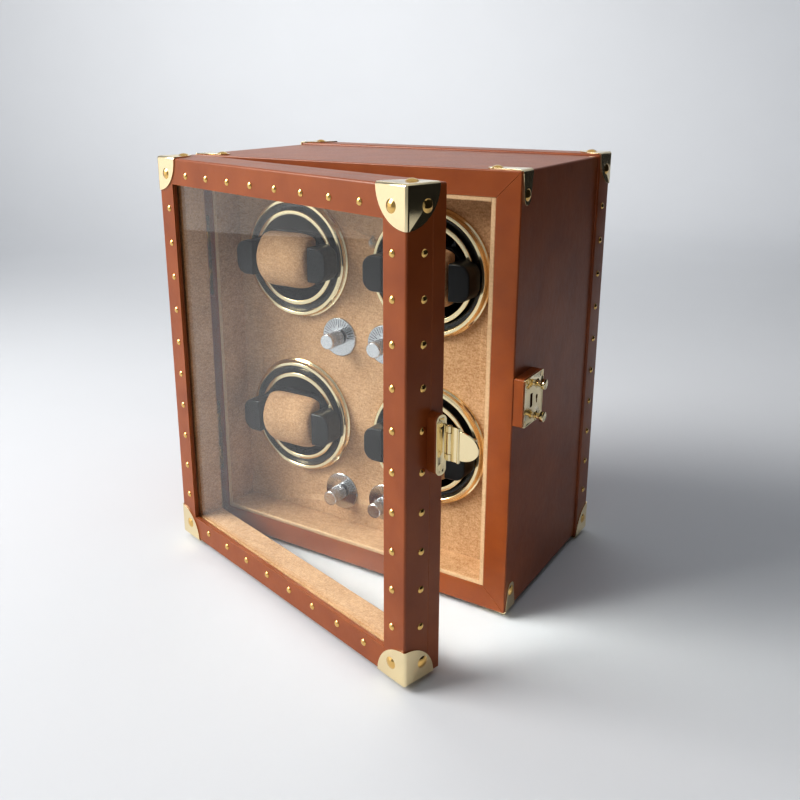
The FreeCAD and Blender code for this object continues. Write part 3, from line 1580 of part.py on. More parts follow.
def hasp(screw_holes):
    """Covered block, base plate, pin and the flap that closes over the lock."""
    half = "hasp_height / 2"
    outline = rectangle("hasp_front", "hasp_rear", f"lock_middle - {half}",
                        f"lock_middle + {half}")
    block = body("hasp_block_body")
    pad(block, "hasp_block_pad", "YZ_Plane", "case_right", "lock_plate_inner", outline)
    body_fillet(block, "hasp_block_round", "hasp_round", lambda e: runs_along(e, "x"))
    node("hasp_block", block, DOOR_SWING)

    plate = body("hasp_plate_body")
    pad(plate, "hasp_plate_pad", "YZ_Plane", "lock_plate_inner", "lock_plate_outer", outline)
    body_fillet(plate, "hasp_plate_round", "hasp_round", lambda e: runs_along(e, "x"))
    pieces = [plate]
    knuckle = "hasp_hinge_height / 2"
    inner = "hasp_flap_knuckle / 2 + knuckle_gap"
    for sign in (-1, 1):
        span = sorted(
            [f"lock_middle + {sign} * ({inner})", f"lock_middle + {sign} * ({knuckle})"],
            key=value)
        pieces.append(box(
            "hasp_tab", ("lock_plate_inner", "lock_plate_outer"),
            ("hasp_rear - hasp_axis_gap", "hasp_y"), span))
        pieces.append(rod(
            "hasp_knuckle", "z", "hasp_knuckle_radius", "hasp_x", "hasp_y", span))
    bore = rod(
        "hasp_bore", "z", "hasp_pin_radius + pin_clearance", "hasp_x", "hasp_y",
        (f"lock_middle - {half}", f"lock_middle + {half}"))
    node("hasp_plate",
         cut("hasp_plate_cut", fuse("hasp_plate_joined", *pieces), bore, screw_holes),
         DOOR_SWING)

    pin = rod("hasp_pin_shaft", "z", "hasp_pin_radius", "hasp_x", "hasp_y",
              (f"lock_middle - {knuckle}", f"lock_middle + {knuckle}"))
    node("hasp_pin", group("hasp_pin_only", pin), DOOR_SWING)
    node("hasp_flap", hasp_flap(), FLAP_SWING)


def hasp_flap():
    """Flap, modelled shut: knuckle, ribbed root, half-oval tongue and catch."""
    flap_outer = "flap_inner + flap_thickness"
    root_half = "hasp_hinge_height / 2"
    knuckle_half = "hasp_flap_knuckle / 2"
    clear = "hasp_knuckle_radius + flap_clearance"
    root_end = "hasp_y + flap_root_length"
    knuckle = rod(
        "flap_knuckle", "z", "hasp_knuckle_radius", "hasp_x", "hasp_y",
        (f"lock_middle - {knuckle_half}", f"lock_middle + {knuckle_half}"))
    neck = box(
        "flap_neck", ("flap_inner", flap_outer), ("hasp_y", f"hasp_y + {clear}"),
        (f"lock_middle - {knuckle_half}", f"lock_middle + {knuckle_half}"))
    root = box(
        "flap_root", ("flap_inner", flap_outer), (f"hasp_y + {clear}", root_end),
        (f"lock_middle - {root_half}", f"lock_middle + {root_half}"))
    bead = rod(
        "flap_bead", "z", "flap_bead_radius", flap_outer, f"{root_end} - flap_bead_radius",
        (f"lock_middle - {root_half}", f"lock_middle + {root_half}"))
    tongue = doc.addObject("Part::Feature", "flap_tongue")
    oval = Part.Ellipse(
        Vector(), value("flap_tongue_length"), value("flap_tongue_height") / 2).toShape()
    plate = Part.Face(Part.Wire([oval])).extrude(Vector(0, 0, value("flap_thickness")))
    half_box = Part.makeBox(
        value("flap_tongue_length"), value("flap_tongue_height"), value("flap_thickness"),
        Vector(0, -value("flap_tongue_height") / 2, 0))
    tongue.Shape = plate.common(half_box)
    upright = FreeCAD.Rotation(Vector(0, 1, 0), Vector(0, 0, 1), Vector(1, 0, 0), "ZXY")
    tongue.Placement = FreeCAD.Placement(Vector(), upright)
    place(tongue, "flap_inner", root_end, "lock_middle")
    catch = box(
        "catch", ("catch_tip", "flap_inner"), ("catch_front", "catch_rear"),
        ("lock_middle - catch_height / 2", "lock_middle + catch_height / 2"))
    window = box(
        "catch_window", ("catch_tip + catch_window_low", "catch_tip + catch_window_high"),
        ("catch_front", "catch_rear"),
        ("lock_middle - catch_window_height / 2", "lock_middle + catch_window_height / 2"))
    joined = fuse("flap_joined", knuckle, neck, root, bead, tongue, catch)
    bore = rod(
        "flap_bore", "z", "hasp_pin_radius + pin_clearance", "hasp_x", "hasp_y",
        (f"lock_middle - {root_half}", f"lock_middle + {root_half}"))
    return cut("flap_cut", joined, bore, window)


def build():
    """Make every sub-part."""
    clearance = value("screw_clearance")
    hole = countersunk(clearance)
    screw = countersunk(0.0)
    case_leaf_spots = hinge_screw_spots("case_front", "-y")
    door_leaf_spots = hinge_screw_spots("door_back", "+y")
    case_shell()
    front_rim()
    recess_liner()
    rotor_panel()
    rear_band()
    back_panel(scattered("back_holes", hole, back_screw_spots()))
    case_corners()
    nails_and_rivets()
    base_pad()
    control_board()
    dc_inlet()
    indicator_lens()
    fixed_rotor_pieces()
    moving_rotor_pieces()
    controls()
    lock(scattered("lock_holes", hole, lock_screw_spots()))
    hinges(
        scattered("case_leaf_holes", hole, case_leaf_spots),
        scattered("door_leaf_holes", hole, door_leaf_spots))
    door_frame()
    door_leather()
    door_lining()
    door_glass()
    door_corners()
    hasp(scattered("hasp_holes", hole, hasp_screw_spots()))
    case_spots = case_leaf_spots + back_screw_spots() + lock_screw_spots()
    node("case_screws", scattered("screws_on_case", screw, case_spots))
    door_spots = door_leaf_spots + hasp_screw_spots()
    node("door_screws", scattered("screws_on_door", screw, door_spots), DOOR_SWING)
    doc.recompute()


def check():
    """Stop if an object failed or a sub-part has no sound solid."""
    for thing in doc.Objects:
        if "Invalid" in thing.State or "Error" in thing.State:
            raise RuntimeError(f"{thing.Name} ({thing.Label}) failed: {thing.State}")
    for piece in nodes:
        shape = piece.Shape
        if shape.isNull() or not shape.isValid() or not shape.Solids:
            raise RuntimeError(f"{piece.Label} has no sound solid")


def export():
    """Write each sub-part to its own file."""
    os.makedirs("parts", exist_ok=True)
    for piece in nodes:
        piece.Shape.exportStep(f"parts/{piece.Label}.step")


fill_sheet()
build()
check()
export()
print(len(nodes), "sub-parts written")
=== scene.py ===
"""Looks of a leather watch winder: finishes, turned and padded pieces, floor, light and camera.

Lengths are in metres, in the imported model's frame: +X to the right, +Y to the rear, +Z up.
"""

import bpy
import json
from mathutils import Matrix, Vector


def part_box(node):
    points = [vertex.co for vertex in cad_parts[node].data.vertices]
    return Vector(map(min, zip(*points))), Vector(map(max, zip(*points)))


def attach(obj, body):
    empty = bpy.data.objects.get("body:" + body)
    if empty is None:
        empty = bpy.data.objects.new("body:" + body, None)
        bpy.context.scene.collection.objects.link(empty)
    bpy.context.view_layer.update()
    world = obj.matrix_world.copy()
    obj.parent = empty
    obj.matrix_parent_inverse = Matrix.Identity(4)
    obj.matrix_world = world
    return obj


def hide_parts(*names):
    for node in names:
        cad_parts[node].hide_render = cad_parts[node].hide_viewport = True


bl_info = {
    "name": "Watch Winder Looks",
    "version": (1, 0, 0),
    "blender": (4, 5, 0),
    "location": "View3D > Sidebar > Winder",
    "description": "Finishes and fine pieces of a leather watch winder",
    "category": "Object",
}

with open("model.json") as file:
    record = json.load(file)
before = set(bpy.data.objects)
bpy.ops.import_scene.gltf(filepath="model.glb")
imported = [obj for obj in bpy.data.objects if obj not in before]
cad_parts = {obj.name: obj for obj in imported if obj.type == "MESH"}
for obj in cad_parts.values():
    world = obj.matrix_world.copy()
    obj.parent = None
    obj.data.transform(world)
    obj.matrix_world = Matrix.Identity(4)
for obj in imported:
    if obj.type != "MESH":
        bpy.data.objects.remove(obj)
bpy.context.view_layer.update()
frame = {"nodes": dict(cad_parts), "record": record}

import json
import math

import bmesh
import bpy
import numpy as np
from bpy.props import FloatProperty, FloatVectorProperty, IntProperty, PointerProperty
from mathutils import Euler, Matrix, Vector

MM = 0.001
FULL_TURN = 2 * math.pi

# Corners nearer than this are one corner, and faces turned less than this are one plane
MERGE_DISTANCE = 2e-6
FLAT_ANGLE = math.radians(0.5)

# Edges sharper than these stay sharp on new surfaces, on carried-over ones and on cloth,
# and edges sharper than the last get a bevel
NEW_ANGLE = math.radians(35)
CARRIED_ANGLE = math.radians(30)
CLOTH_ANGLE = math.radians(80)
BEVEL_ANGLE = math.radians(50)


def linear(hex_colour):
    """An sRGB hex colour as linear red, green and blue."""
    parts = np.array([int(hex_colour[start:start + 2], 16) for start in (0, 2, 4)]) / 255
    low = parts / 12.92
    high = ((parts + 0.055) / 1.055) ** 2.4
    return tuple(float(part) for part in np.where(parts <= 0.04045, low, high))


def opaque(colour):
    """A linear colour with full alpha, as a colour socket takes it."""
    return (*colour, 1.0)


def per_metre(pitch_mm):
    """How many repeats of a pattern with a pitch in millimetres fit in a metre."""
    return 1000 / pitch_mm


# Shared building of nodes, materials and meshes

def add_node(tree, kind, settings=None, links=None):
    """Add a node; settings are attributes or sockets, links lead from a socket to an input."""
    made = tree.nodes.new(kind)
    for name, setting in (settings or {}).items():
        if isinstance(name, str) and hasattr(made, name):
            setattr(made, name, setting)
        else:
            made.inputs[name].default_value = setting
    for name, source in (links or {}).items():
        tree.links.new(source, made.inputs[name])
    return made


def start_material(name, **sockets):
    """A new material with its Principled shader's sockets set; gives its tree and coordinates."""
    material = bpy.data.materials.new(name)
    material.use_nodes = True
    tree = material.node_tree
    tree.nodes.clear()
    settings = {key.replace("_", " "): setting for key, setting in sockets.items()}
    shader = add_node(tree, "ShaderNodeBsdfPrincipled", settings)
    add_node(tree, "ShaderNodeOutputMaterial", links={"Surface": shader.outputs["BSDF"]})
    coordinates = add_node(tree, "ShaderNodeTexCoord").outputs["Object"]
    return material, tree, shader, coordinates


def surface(name, points, around=False):
    """A mesh through a grid of points: rows by columns, closed round the columns if asked.

    Rows that shrink to one point are merged there, and the faces are made to point outwards.
    """
    rows, columns = points.shape[:2]
    row, column = np.meshgrid(
        np.arange(rows - 1), np.arange(columns if around else columns - 1), indexing="ij")
    beside = (column + 1) % columns
    corners = (
        row * columns + column, row * columns + beside,
        (row + 1) * columns + beside, (row + 1) * columns + column)
    faces = np.stack(corners, axis=-1).reshape(-1, 4)
    mesh = bpy.data.meshes.new(name)
    mesh.from_pydata(points.reshape(-1, 3).tolist(), [], faces.tolist())
    return tidied(mesh, NEW_ANGLE, outwards=True)


def tidied(mesh, angle, outwards=False, flatten=False):
    """Merge a mesh's doubles, and shade it smooth but for edges sharper than the angle."""
    work = bmesh.new()
    work.from_mesh(mesh)
    bmesh.ops.remove_doubles(work, verts=work.verts, dist=MERGE_DISTANCE)
    bmesh.ops.dissolve_degenerate(work, dist=MERGE_DISTANCE, edges=work.edges)
    if flatten:
        bmesh.ops.dissolve_limit(
            work, angle_limit=FLAT_ANGLE, verts=work.verts, edges=work.edges)
    if outwards:
        bmesh.ops.recalc_face_normals(work, faces=work.faces)
    work.to_mesh(mesh)
    work.free()
    mesh.polygons.foreach_set("use_smooth", np.ones(len(mesh.polygons), dtype=bool))
    mesh.set_sharp_from_angle(angle=angle)
    return mesh


def joined(name, meshes):
    """Several meshes as one."""
    work = bmesh.new()
    for mesh in meshes:
        work.from_mesh(mesh)
    whole = bpy.data.meshes.new(name)
    work.to_mesh(whole)
    work.free()
    for mesh in meshes:
        bpy.data.meshes.remove(mesh)
    whole.polygons.foreach_set("use_smooth", np.ones(len(whole.polygons), dtype=bool))
    whole.set_sharp_from_angle(angle=NEW_ANGLE)
    return whole


def add_piece(name, mesh, material, body, replaced=()):
    """Put a finished mesh in the scene, on its body, in place of CAD nodes."""
    piece = bpy.data.objects.new(name, mesh)
    bpy.context.scene.collection.objects.link(piece)
    mesh.materials.clear()
    mesh.materials.append(material)
    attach(piece, body)
    if replaced:
        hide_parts(*replaced)
    return piece


def body_of_node(node):
    """The name of the body that holds a CAD node."""
    bodies = frame["record"]["behaviour"]["bodies"]
    return next(body for body, nodes in bodies.items() if node in nodes)


def dressed(node, material, angle=CARRIED_ANGLE, edge=0.0):
    """A smooth copy of a CAD node with a finish, its sharp edges eased by a small bevel."""
    mesh = frame["nodes"][node].data.copy()
    mesh.name = node + "_dressed"
    tidied(mesh, angle, flatten=edge > 0)
    piece = add_piece(
        node + "_dressed", mesh, material, body_of_node(node), (node,))
    if edge:
        bevel = piece.modifiers.new("eased_edges", "BEVEL")
        bevel.width = edge
        bevel.segments = 2
        bevel.limit_method = "ANGLE"
        bevel.angle_limit = BEVEL_ANGLE
    return piece


def rounded_outline(corners, steps=8):
    """A polyline through corners of (first, second, radius), each rounded by an arc.

    Between the two points where a circle of that radius touches the legs, the arc is
    centre + radius * (cos, sin) of an angle that runs evenly from one to the other.
    """
    corners = [(np.array(corner[:2], float), corner[2]) for corner in corners]
    pieces = [corners[0][0][None]]
    for before, (corner, radius), after in zip(corners, corners[1:], corners[2:]):
        if radius == 0:
            pieces.append(corner[None])
            continue
        back = (before[0] - corner) / np.linalg.norm(before[0] - corner)
        ahead = (after[0] - corner) / np.linalg.norm(after[0] - corner)
        half = math.acos(float(np.clip(back @ ahead, -1, 1))) / 2
        middle = (back + ahead) / np.linalg.norm(back + ahead)
        centre = corner + middle * radius / math.sin(half)
        first = corner + back * radius / math.tan(half) - centre
        last = corner + ahead * radius / math.tan(half) - centre
        start = math.atan2(first[1], first[0])
        sweep = (math.atan2(last[1], last[0]) - start + math.pi) % FULL_TURN - math.pi
        angles = start + sweep * np.linspace(0, 1, steps)
        pieces.append(centre + radius * np.stack([np.cos(angles), np.sin(angles)], axis=-1))
    pieces.append(corners[-1][0][None])
    return np.concatenate(pieces)


# The side, the axis and the upward direction of what is turned about each axis
AXES = {
    "y": (np.array((1.0, 0, 0)), np.array((0, 1.0, 0)), np.array((0, 0, 1.0))),
    "z": (np.array((1.0, 0, 0)), np.array((0, 0, 1.0)), np.array((0, 1.0, 0))),
}


def turned(name, profile, centre, axis="y", steps=128, ribs=None):
    """A profile of radius and depth turned about an axis through the centre.

    A point is centre + radius * (cos * side + sin * up) + depth * axis. Where ribs are
    given, they are a function of the angles and depths that is taken from the radius.
    """
    side, along, up = AXES[axis]
    angles = np.linspace(0, FULL_TURN, steps, endpoint=False)
    radius, turn = np.meshgrid(profile[:, 0], angles, indexing="ij")
    depth = np.broadcast_to(profile[:, 1][:, None], radius.shape)
    if ribs:
        radius = np.where(radius > 0, radius - ribs(turn, depth), radius)
    points = (
        np.asarray(centre) + (radius * np.cos(turn))[..., None] * side
        + (radius * np.sin(turn))[..., None] * up + depth[..., None] * along)
    return surface(name, points, around=True)


def middle_of(node):
    """The middle of a CAD node's box."""
    low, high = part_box(node)
    return (low + high) / 2


def solids_of(node):
    """The corner points of each separate solid of a CAD node.

    Each corner starts with its own number, and the lower number is passed along every
    edge until nothing changes, so a solid's corners end with one number.
    """
    mesh = frame["nodes"][node].data.copy()
    tidied(mesh, CARRIED_ANGLE)
    points = np.zeros(len(mesh.vertices) * 3)
    mesh.vertices.foreach_get("co", points)
    ends = np.zeros(len(mesh.edges) * 2, dtype=int)
    mesh.edges.foreach_get("vertices", ends)
    first, second = ends.reshape(-1, 2).T
    number = np.arange(len(mesh.vertices))
    bpy.data.meshes.remove(mesh)
    while True:
        lower = number.copy()
        shared = np.minimum(number[first], number[second])
        np.minimum.at(lower, first, shared)
        np.minimum.at(lower, second, shared)
        if np.array_equal(lower, number):
            break
        number = lower
    points = points.reshape(-1, 3)
    return [points[number == tag] for tag in np.unique(number)]


def head_of(points):
    """A screw's head: the middle of its outer face, its radius and the way it faces.

    The screw's axis is the direction whose spread differs most from the other two. The
    head is at the end where the points stand furthest from that axis.
    """
    middle = (points.min(axis=0) + points.max(axis=0)) / 2
    spread, directions = np.linalg.eigh(np.cov((points - middle).T))
    axis = directions[:, 2] if spread[2] - spread[1] > spread[1] - spread[0] else directions[:, 0]
    along = (points - middle) @ axis
    away = np.linalg.norm(points - middle - along[:, None] * axis, axis=1)
    if along[np.argmax(away)] < (along.min() + along.max()) / 2:
        axis, along = -axis, -along
    return middle + axis * along.max(), away.max(), axis


# How far a screw's dome stands up: in the closed hinges two of them face each other
SCREW_RISE = 0.16 * MM
# The dome's share of the head, and the heights of its rim and of its slot's floor
SCREW_SHARE = 0.96
SCREW_RIM = 0.02 * MM
SLOT_FLOOR = 0.01 * MM
# The foot of the slot's walls as a share of its width, and how far a slot leans
SLOT_FOOT = 0.98
SLOT_LEAN = 0.3


def slotted_head(solid, slot):
    """A low dome with a slot across, laid on the head of a screw's solid.

    A point is x * across + y * beside + height * axis: x takes fixed stations with the
    slot's edges among them, y runs over the chord at x, and the height is the rise times
    1 - (x^2 + y^2) / radius^2, or the floor's height inside the slot.
    """
    middle, head_radius, axis = head_of(solid)
    radius = head_radius * SCREW_SHARE
    across = np.cross((SLOT_LEAN, 0, 1) if abs(axis[2]) < 0.9 else (1, SLOT_LEAN, 0), axis)
    across /= np.linalg.norm(across)
    beside = np.cross(axis, across)
    half = slot / 2
    foot = half * SLOT_FOOT
    side = np.linspace(half, radius, 9)
    x = np.concatenate([-side[::-1], [-foot, 0, foot], side])
    y = np.sqrt(np.maximum(radius ** 2 - x ** 2, 0))[:, None] * np.linspace(-1, 1, 17)
    x = np.broadcast_to(x[:, None], y.shape)
    dome = SCREW_RISE * (1 - (x ** 2 + y ** 2) / radius ** 2) + SCREW_RIM
    height = np.where(np.abs(x) < half, SLOT_FLOOR, dome)
    points = middle + x[..., None] * across + y[..., None] * beside + height[..., None] * axis
    return surface("screw_head", points)


# Sizes and colours that a user would change

class WinderColours(bpy.types.PropertyGroup):
    """Colours of the winder's finishes."""

    leather: FloatVectorProperty(
        name="Leather", description="Dyed cowhide", subtype="COLOR", default=linear("924B1D"))
    leather_dark: FloatVectorProperty(
        name="Leather pores", description="Darker tone in the leather's grain",
        subtype="COLOR", default=linear("7D3B14"))
    # Lighter colour along the leather's edges: partly rubbed wear, partly a painted highlight
    leather_edge_wear_and_highlight: FloatVectorProperty(
        name="Leather edges", description="Where the leather is rubbed along its edges",
        subtype="COLOR", default=linear("B0622E"))
    suede: FloatVectorProperty(
        name="Suede", description="Brushed microfibre suede", subtype="COLOR",
        default=linear("C6A27E"))
    suede_dark: FloatVectorProperty(
        name="Suede nap", description="Darker tone of the nap", subtype="COLOR",
        default=linear("9A7450"))
    # Lighter colour of the liner's front edges: partly raised nap, partly a painted highlight
    suede_edge_nap_and_highlight: FloatVectorProperty(
        name="Suede edge", description="Raised nap on the liner's front edges",
        subtype="COLOR", default=linear("DDBE98"))
    brass: FloatVectorProperty(
        name="Brass", description="Pale gilt plating", subtype="COLOR", default=linear("F4E2B8"))
    nail_gilt: FloatVectorProperty(
        name="Nails", description="Deeper gilt of the drawn nails", subtype="COLOR",
        default=linear("E6BE78"))
    plastic: FloatVectorProperty(
        name="Plastic", description="Black moulded plastic", subtype="COLOR",
        default=linear("0B0B0D"))
    leatherette: FloatVectorProperty(
        name="Leatherette", description="Black cover of the cuff's ends", subtype="COLOR",
        default=linear("09090A"))
    aluminium: FloatVectorProperty(
        name="Aluminium", description="Turned knobs", subtype="COLOR", default=linear("D9DADC"))
    steel: FloatVectorProperty(
        name="Steel", description="Dial plates", subtype="COLOR", default=linear("C9CACC"))


class WinderSizes(bpy.types.PropertyGroup):
    """Sizes of the details that the scene adds."""

    edge: FloatProperty(
        name="Eased edge", description="Bevel of pressed and covered edges",
        default=0.35 * MM, unit="LENGTH")
    groove: FloatProperty(
        name="Ring groove", description="Width of the fine lines turned in the gilt rings",
        default=0.5 * MM, unit="LENGTH")
    rib_depth: FloatProperty(
        name="Rib depth", description="Depth of the grooves between a knob's ribs",
        default=0.28 * MM, unit="LENGTH")
    ribs: IntProperty(name="Ribs", description="Ribs round a knob", default=44)
    tick_width: FloatProperty(
        name="Tick width", description="Width of a dial's ticks", default=0.5 * MM,
        unit="LENGTH")
    ticks: IntProperty(name="Ticks", description="Ticks on a dial's upper half", default=19)
    slot_width: FloatProperty(
        name="Screw slot", description="Width of the slots in the screws' heads",
        default=0.55 * MM, unit="LENGTH")


class WinderStage(bpy.types.PropertyGroup):
    """Floor, light and camera."""

    floor: FloatVectorProperty(
        name="Floor", description="Paper sweep", subtype="COLOR", default=linear("D0D2D5"))
    flat_radius: FloatProperty(
        name="Flat radius", description="Flat part of the sweep", default=1.7, unit="LENGTH")
    key: FloatProperty(
        name="Key light", description="Power of the window light", default=13.5, unit="POWER")
    card: FloatProperty(
        name="Low card", description="Power of the low card that the gilt mirrors",
        default=3.7, unit="POWER")
    backdrop: FloatProperty(
        name="Backdrop light", description="Power of the light on the sweep behind the case",
        default=15.0, unit="POWER")
    world: FloatProperty(name="World", description="Strength of the room's light", default=0.64)


# Finishes

def leather_finish(colours):
    """Cowhide, drum dyed, plated smooth and waxed: fine pores, soft waves, and edges painted
    lighter, partly rubbed wear and partly a painted highlight.

    The edges show where the normal of a rounded edge turns away from the true normal.
    Hair pores lie closer than the pitch here, which is coarse enough to show.
    """
    pore_pitch = 0.8
    cloud_pitch = 26
    streak_pitch = 1.7
    wear_and_highlight_radius = 1.2 * MM
    material, tree, shader, place = start_material(
        "dyed_cowhide", Roughness=0.36, Specular_IOR_Level=0.5)
    pores = add_node(
        tree, "ShaderNodeTexVoronoi", {"Scale": per_metre(pore_pitch)}, {"Vector": place})
    clouds = add_node(
        tree, "ShaderNodeTexNoise", {"Scale": per_metre(cloud_pitch), "Detail": 5.0},
        {"Vector": place})
    stretched = add_node(
        tree, "ShaderNodeMapping", {"Scale": (1.0, 1.0, 0.3)}, {"Vector": place})
    streaks = add_node(
        tree, "ShaderNodeTexNoise", {"Scale": per_metre(streak_pitch), "Detail": 3.0},
        {"Vector": stretched.outputs["Vector"]})
    tone = add_node(
        tree, "ShaderNodeMapRange",
        {"From Min": 0.3, "From Max": 0.7, "To Min": 0.2, "To Max": 1.0},
        {"Value": clouds.outputs["Fac"]})
    colour = add_node(
        tree, "ShaderNodeMix",
        {"data_type": "RGBA", 6: opaque(colours.leather_dark), 7: opaque(colours.leather)},
        {0: tone.outputs["Result"]})
    rounded = add_node(tree, "ShaderNodeBevel", {"samples": 4, "Radius": wear_and_highlight_radius})
    level = add_node(
        tree, "ShaderNodeVectorMath", {"operation": "DOT_PRODUCT"},
        {0: rounded.outputs["Normal"],
         1: add_node(tree, "ShaderNodeNewGeometry").outputs["True Normal"]})
    # Mask of the rounded edges where the colour is lightened: rubbed wear and a painted highlight
    rubbed = add_node(
        tree, "ShaderNodeMapRange",
        {"From Min": 0.995, "From Max": 0.85, "To Min": 0.0, "To Max": 0.55},
        {"Value": level.outputs["Value"]})
    wear_and_highlight_colour = add_node(
        tree, "ShaderNodeMix", {"data_type": "RGBA", 7: opaque(colours.leather_edge_wear_and_highlight)},
        {0: rubbed.outputs["Result"], 6: colour.outputs[2]})
    gloss = add_node(
        tree, "ShaderNodeMapRange", {"To Min": 0.28, "To Max": 0.46},
        {"Value": streaks.outputs["Fac"]})
    waves = add_node(
        tree, "ShaderNodeBump", {"Strength": 0.2, "Distance": 2 * MM},
        {"Height": clouds.outputs["Fac"]})
    grain = add_node(
        tree, "ShaderNodeBump", {"Strength": 0.22, "Distance": 0.12 * MM},
        {"Height": pores.outputs["Distance"], "Normal": waves.outputs["Normal"]})
    lines = add_node(
        tree, "ShaderNodeBump", {"Strength": 0.15, "Distance": 0.1 * MM},
        {"Height": streaks.outputs["Fac"], "Normal": grain.outputs["Normal"]})
    tree.links.new(wear_and_highlight_colour.outputs[2], shader.inputs["Base Color"])
    tree.links.new(gloss.outputs["Result"], shader.inputs["Roughness"])
    tree.links.new(lines.outputs["Normal"], shader.inputs["Normal"])
    return material


def suede_finish(colours, name="brushed_suede", front=None):
    """Microfibre suede, brushed: a short nap with streaks across, no gloss, a soft sheen.

    Where a front is given, the cut edge that lies there is painted lighter: partly raised nap,
    partly a painted highlight.
    The nap's fibres are finer than the pitch here, which is coarse enough to show.
    """
    streak_pitch = 1.5
    nap_pitch = 1.4
    cloud_pitch = 30
    edge_start = 0.3 * MM
    edge_end = 0.9 * MM
    material, tree, shader, place = start_material(
        name, Roughness=0.95, Specular_IOR_Level=0.15, Sheen_Weight=0.25, Sheen_Roughness=0.6)
    shader.inputs["Sheen Tint"].default_value = opaque(colours.suede)
    stretched = add_node(
        tree, "ShaderNodeMapping", {"Scale": (0.3, 0.4, 1.0)}, {"Vector": place})
    streaks = add_node(
        tree, "ShaderNodeTexNoise", {"Scale": per_metre(streak_pitch), "Detail": 2.0},
        {"Vector": stretched.outputs["Vector"]})
    nap = add_node(
        tree, "ShaderNodeTexNoise",
        {"Scale": per_metre(nap_pitch), "Detail": 4.0, "Roughness": 0.7}, {"Vector": place})
    clouds = add_node(
        tree, "ShaderNodeTexNoise", {"Scale": per_metre(cloud_pitch), "Detail": 3.0},
        {"Vector": place})
    both = add_node(
        tree, "ShaderNodeMath", {"operation": "MULTIPLY_ADD", 1: 0.4},
        {0: streaks.outputs["Fac"], 2: nap.outputs["Fac"]})
    total = add_node(
        tree, "ShaderNodeMath", {"operation": "MULTIPLY_ADD", 1: 0.35},
        {0: clouds.outputs["Fac"], 2: both.outputs["Value"]})
    tone = add_node(
        tree, "ShaderNodeMapRange", {"From Min": 0.68, "From Max": 1.06},
        {"Value": total.outputs["Value"]})
    colour = add_node(
        tree, "ShaderNodeMix",
        {"data_type": "RGBA", 6: opaque(colours.suede_dark), 7: opaque(colours.suede)},
        {0: tone.outputs["Result"]})
    pile = add_node(
        tree, "ShaderNodeBump", {"Strength": 0.6, "Distance": 0.25 * MM},
        {"Height": both.outputs["Value"]})
    tree.links.new(colour.outputs[2], shader.inputs["Base Color"])
    tree.links.new(pile.outputs["Normal"], shader.inputs["Normal"])
    if front is not None:
        split = add_node(tree, "ShaderNodeSeparateXYZ", links={"Vector": place})
        # Mask of the liner's front edge, painted lighter as raised nap and a painted highlight
        cut = add_node(
            tree, "ShaderNodeMapRange",
            {"From Min": front + edge_end, "From Max": front + edge_start, "To Min": 0.0,
             "To Max": 0.5}, {"Value": split.outputs["Y"]})
        light = add_node(
            tree, "ShaderNodeMix", {"data_type": "RGBA", 7: opaque(colours.suede_edge_nap_and_highlight)},
            {0: cut.outputs["Result"], 6: colour.outputs[2]})
        tree.links.new(light.outputs[2], shader.inputs["Base Color"])
    return material


def brass_finish(name, colour):
    """Brass, pressed or drawn, polished and gilt: a clear mirror with faint hairlines.

    Polishing lines are finer than the pitch here, which is coarse enough to show.
    """
    hairline_pitch = 2.0
    dent_pitch = 9.0
    material, tree, shader, place = start_material(
        name, Metallic=1.0, Roughness=0.12, Base_Color=opaque(colour))
    hairlines = add_node(
        tree, "ShaderNodeTexNoise", {"Scale": per_metre(hairline_pitch), "Detail": 6.0},
        {"Vector": place})
    gloss = add_node(
        tree, "ShaderNodeMapRange", {"To Min": 0.07, "To Max": 0.2},
        {"Value": hairlines.outputs["Fac"]})
    dents = add_node(
        tree, "ShaderNodeTexNoise", {"Scale": per_metre(dent_pitch), "Detail": 2.0},
        {"Vector": place})
    uneven = add_node(
        tree, "ShaderNodeBump", {"Strength": 0.05, "Distance": 0.4 * MM},
        {"Height": dents.outputs["Fac"]})
    tree.links.new(gloss.outputs["Result"], shader.inputs["Roughness"])
    tree.links.new(uneven.outputs["Normal"], shader.inputs["Normal"])
    return material


def plastic_finish(colours):
    """ABS, moulded in a polished tool: deep black, a clear gloss with faint sink waves."""
    sink_pitch = 16
    dust_pitch = 1.5
    material, tree, shader, place = start_material(
        "moulded_abs", Roughness=0.1, Base_Color=opaque(colours.plastic), Coat_Weight=0.4,
        Coat_Roughness=0.05)
    sink = add_node(
        tree, "ShaderNodeTexNoise", {"Scale": per_metre(sink_pitch), "Detail": 2.0},
        {"Vector": place})
    waves = add_node(
        tree, "ShaderNodeBump", {"Strength": 0.06, "Distance": 0.5 * MM},
        {"Height": sink.outputs["Fac"]})
    dust = add_node(
        tree, "ShaderNodeTexNoise", {"Scale": per_metre(dust_pitch), "Detail": 4.0},
        {"Vector": place})
    gloss = add_node(
        tree, "ShaderNodeMapRange", {"To Min": 0.08, "To Max": 0.22},
        {"Value": dust.outputs["Fac"]})
    tree.links.new(gloss.outputs["Result"], shader.inputs["Roughness"])
    tree.links.new(waves.outputs["Normal"], shader.inputs["Normal"])
    return material


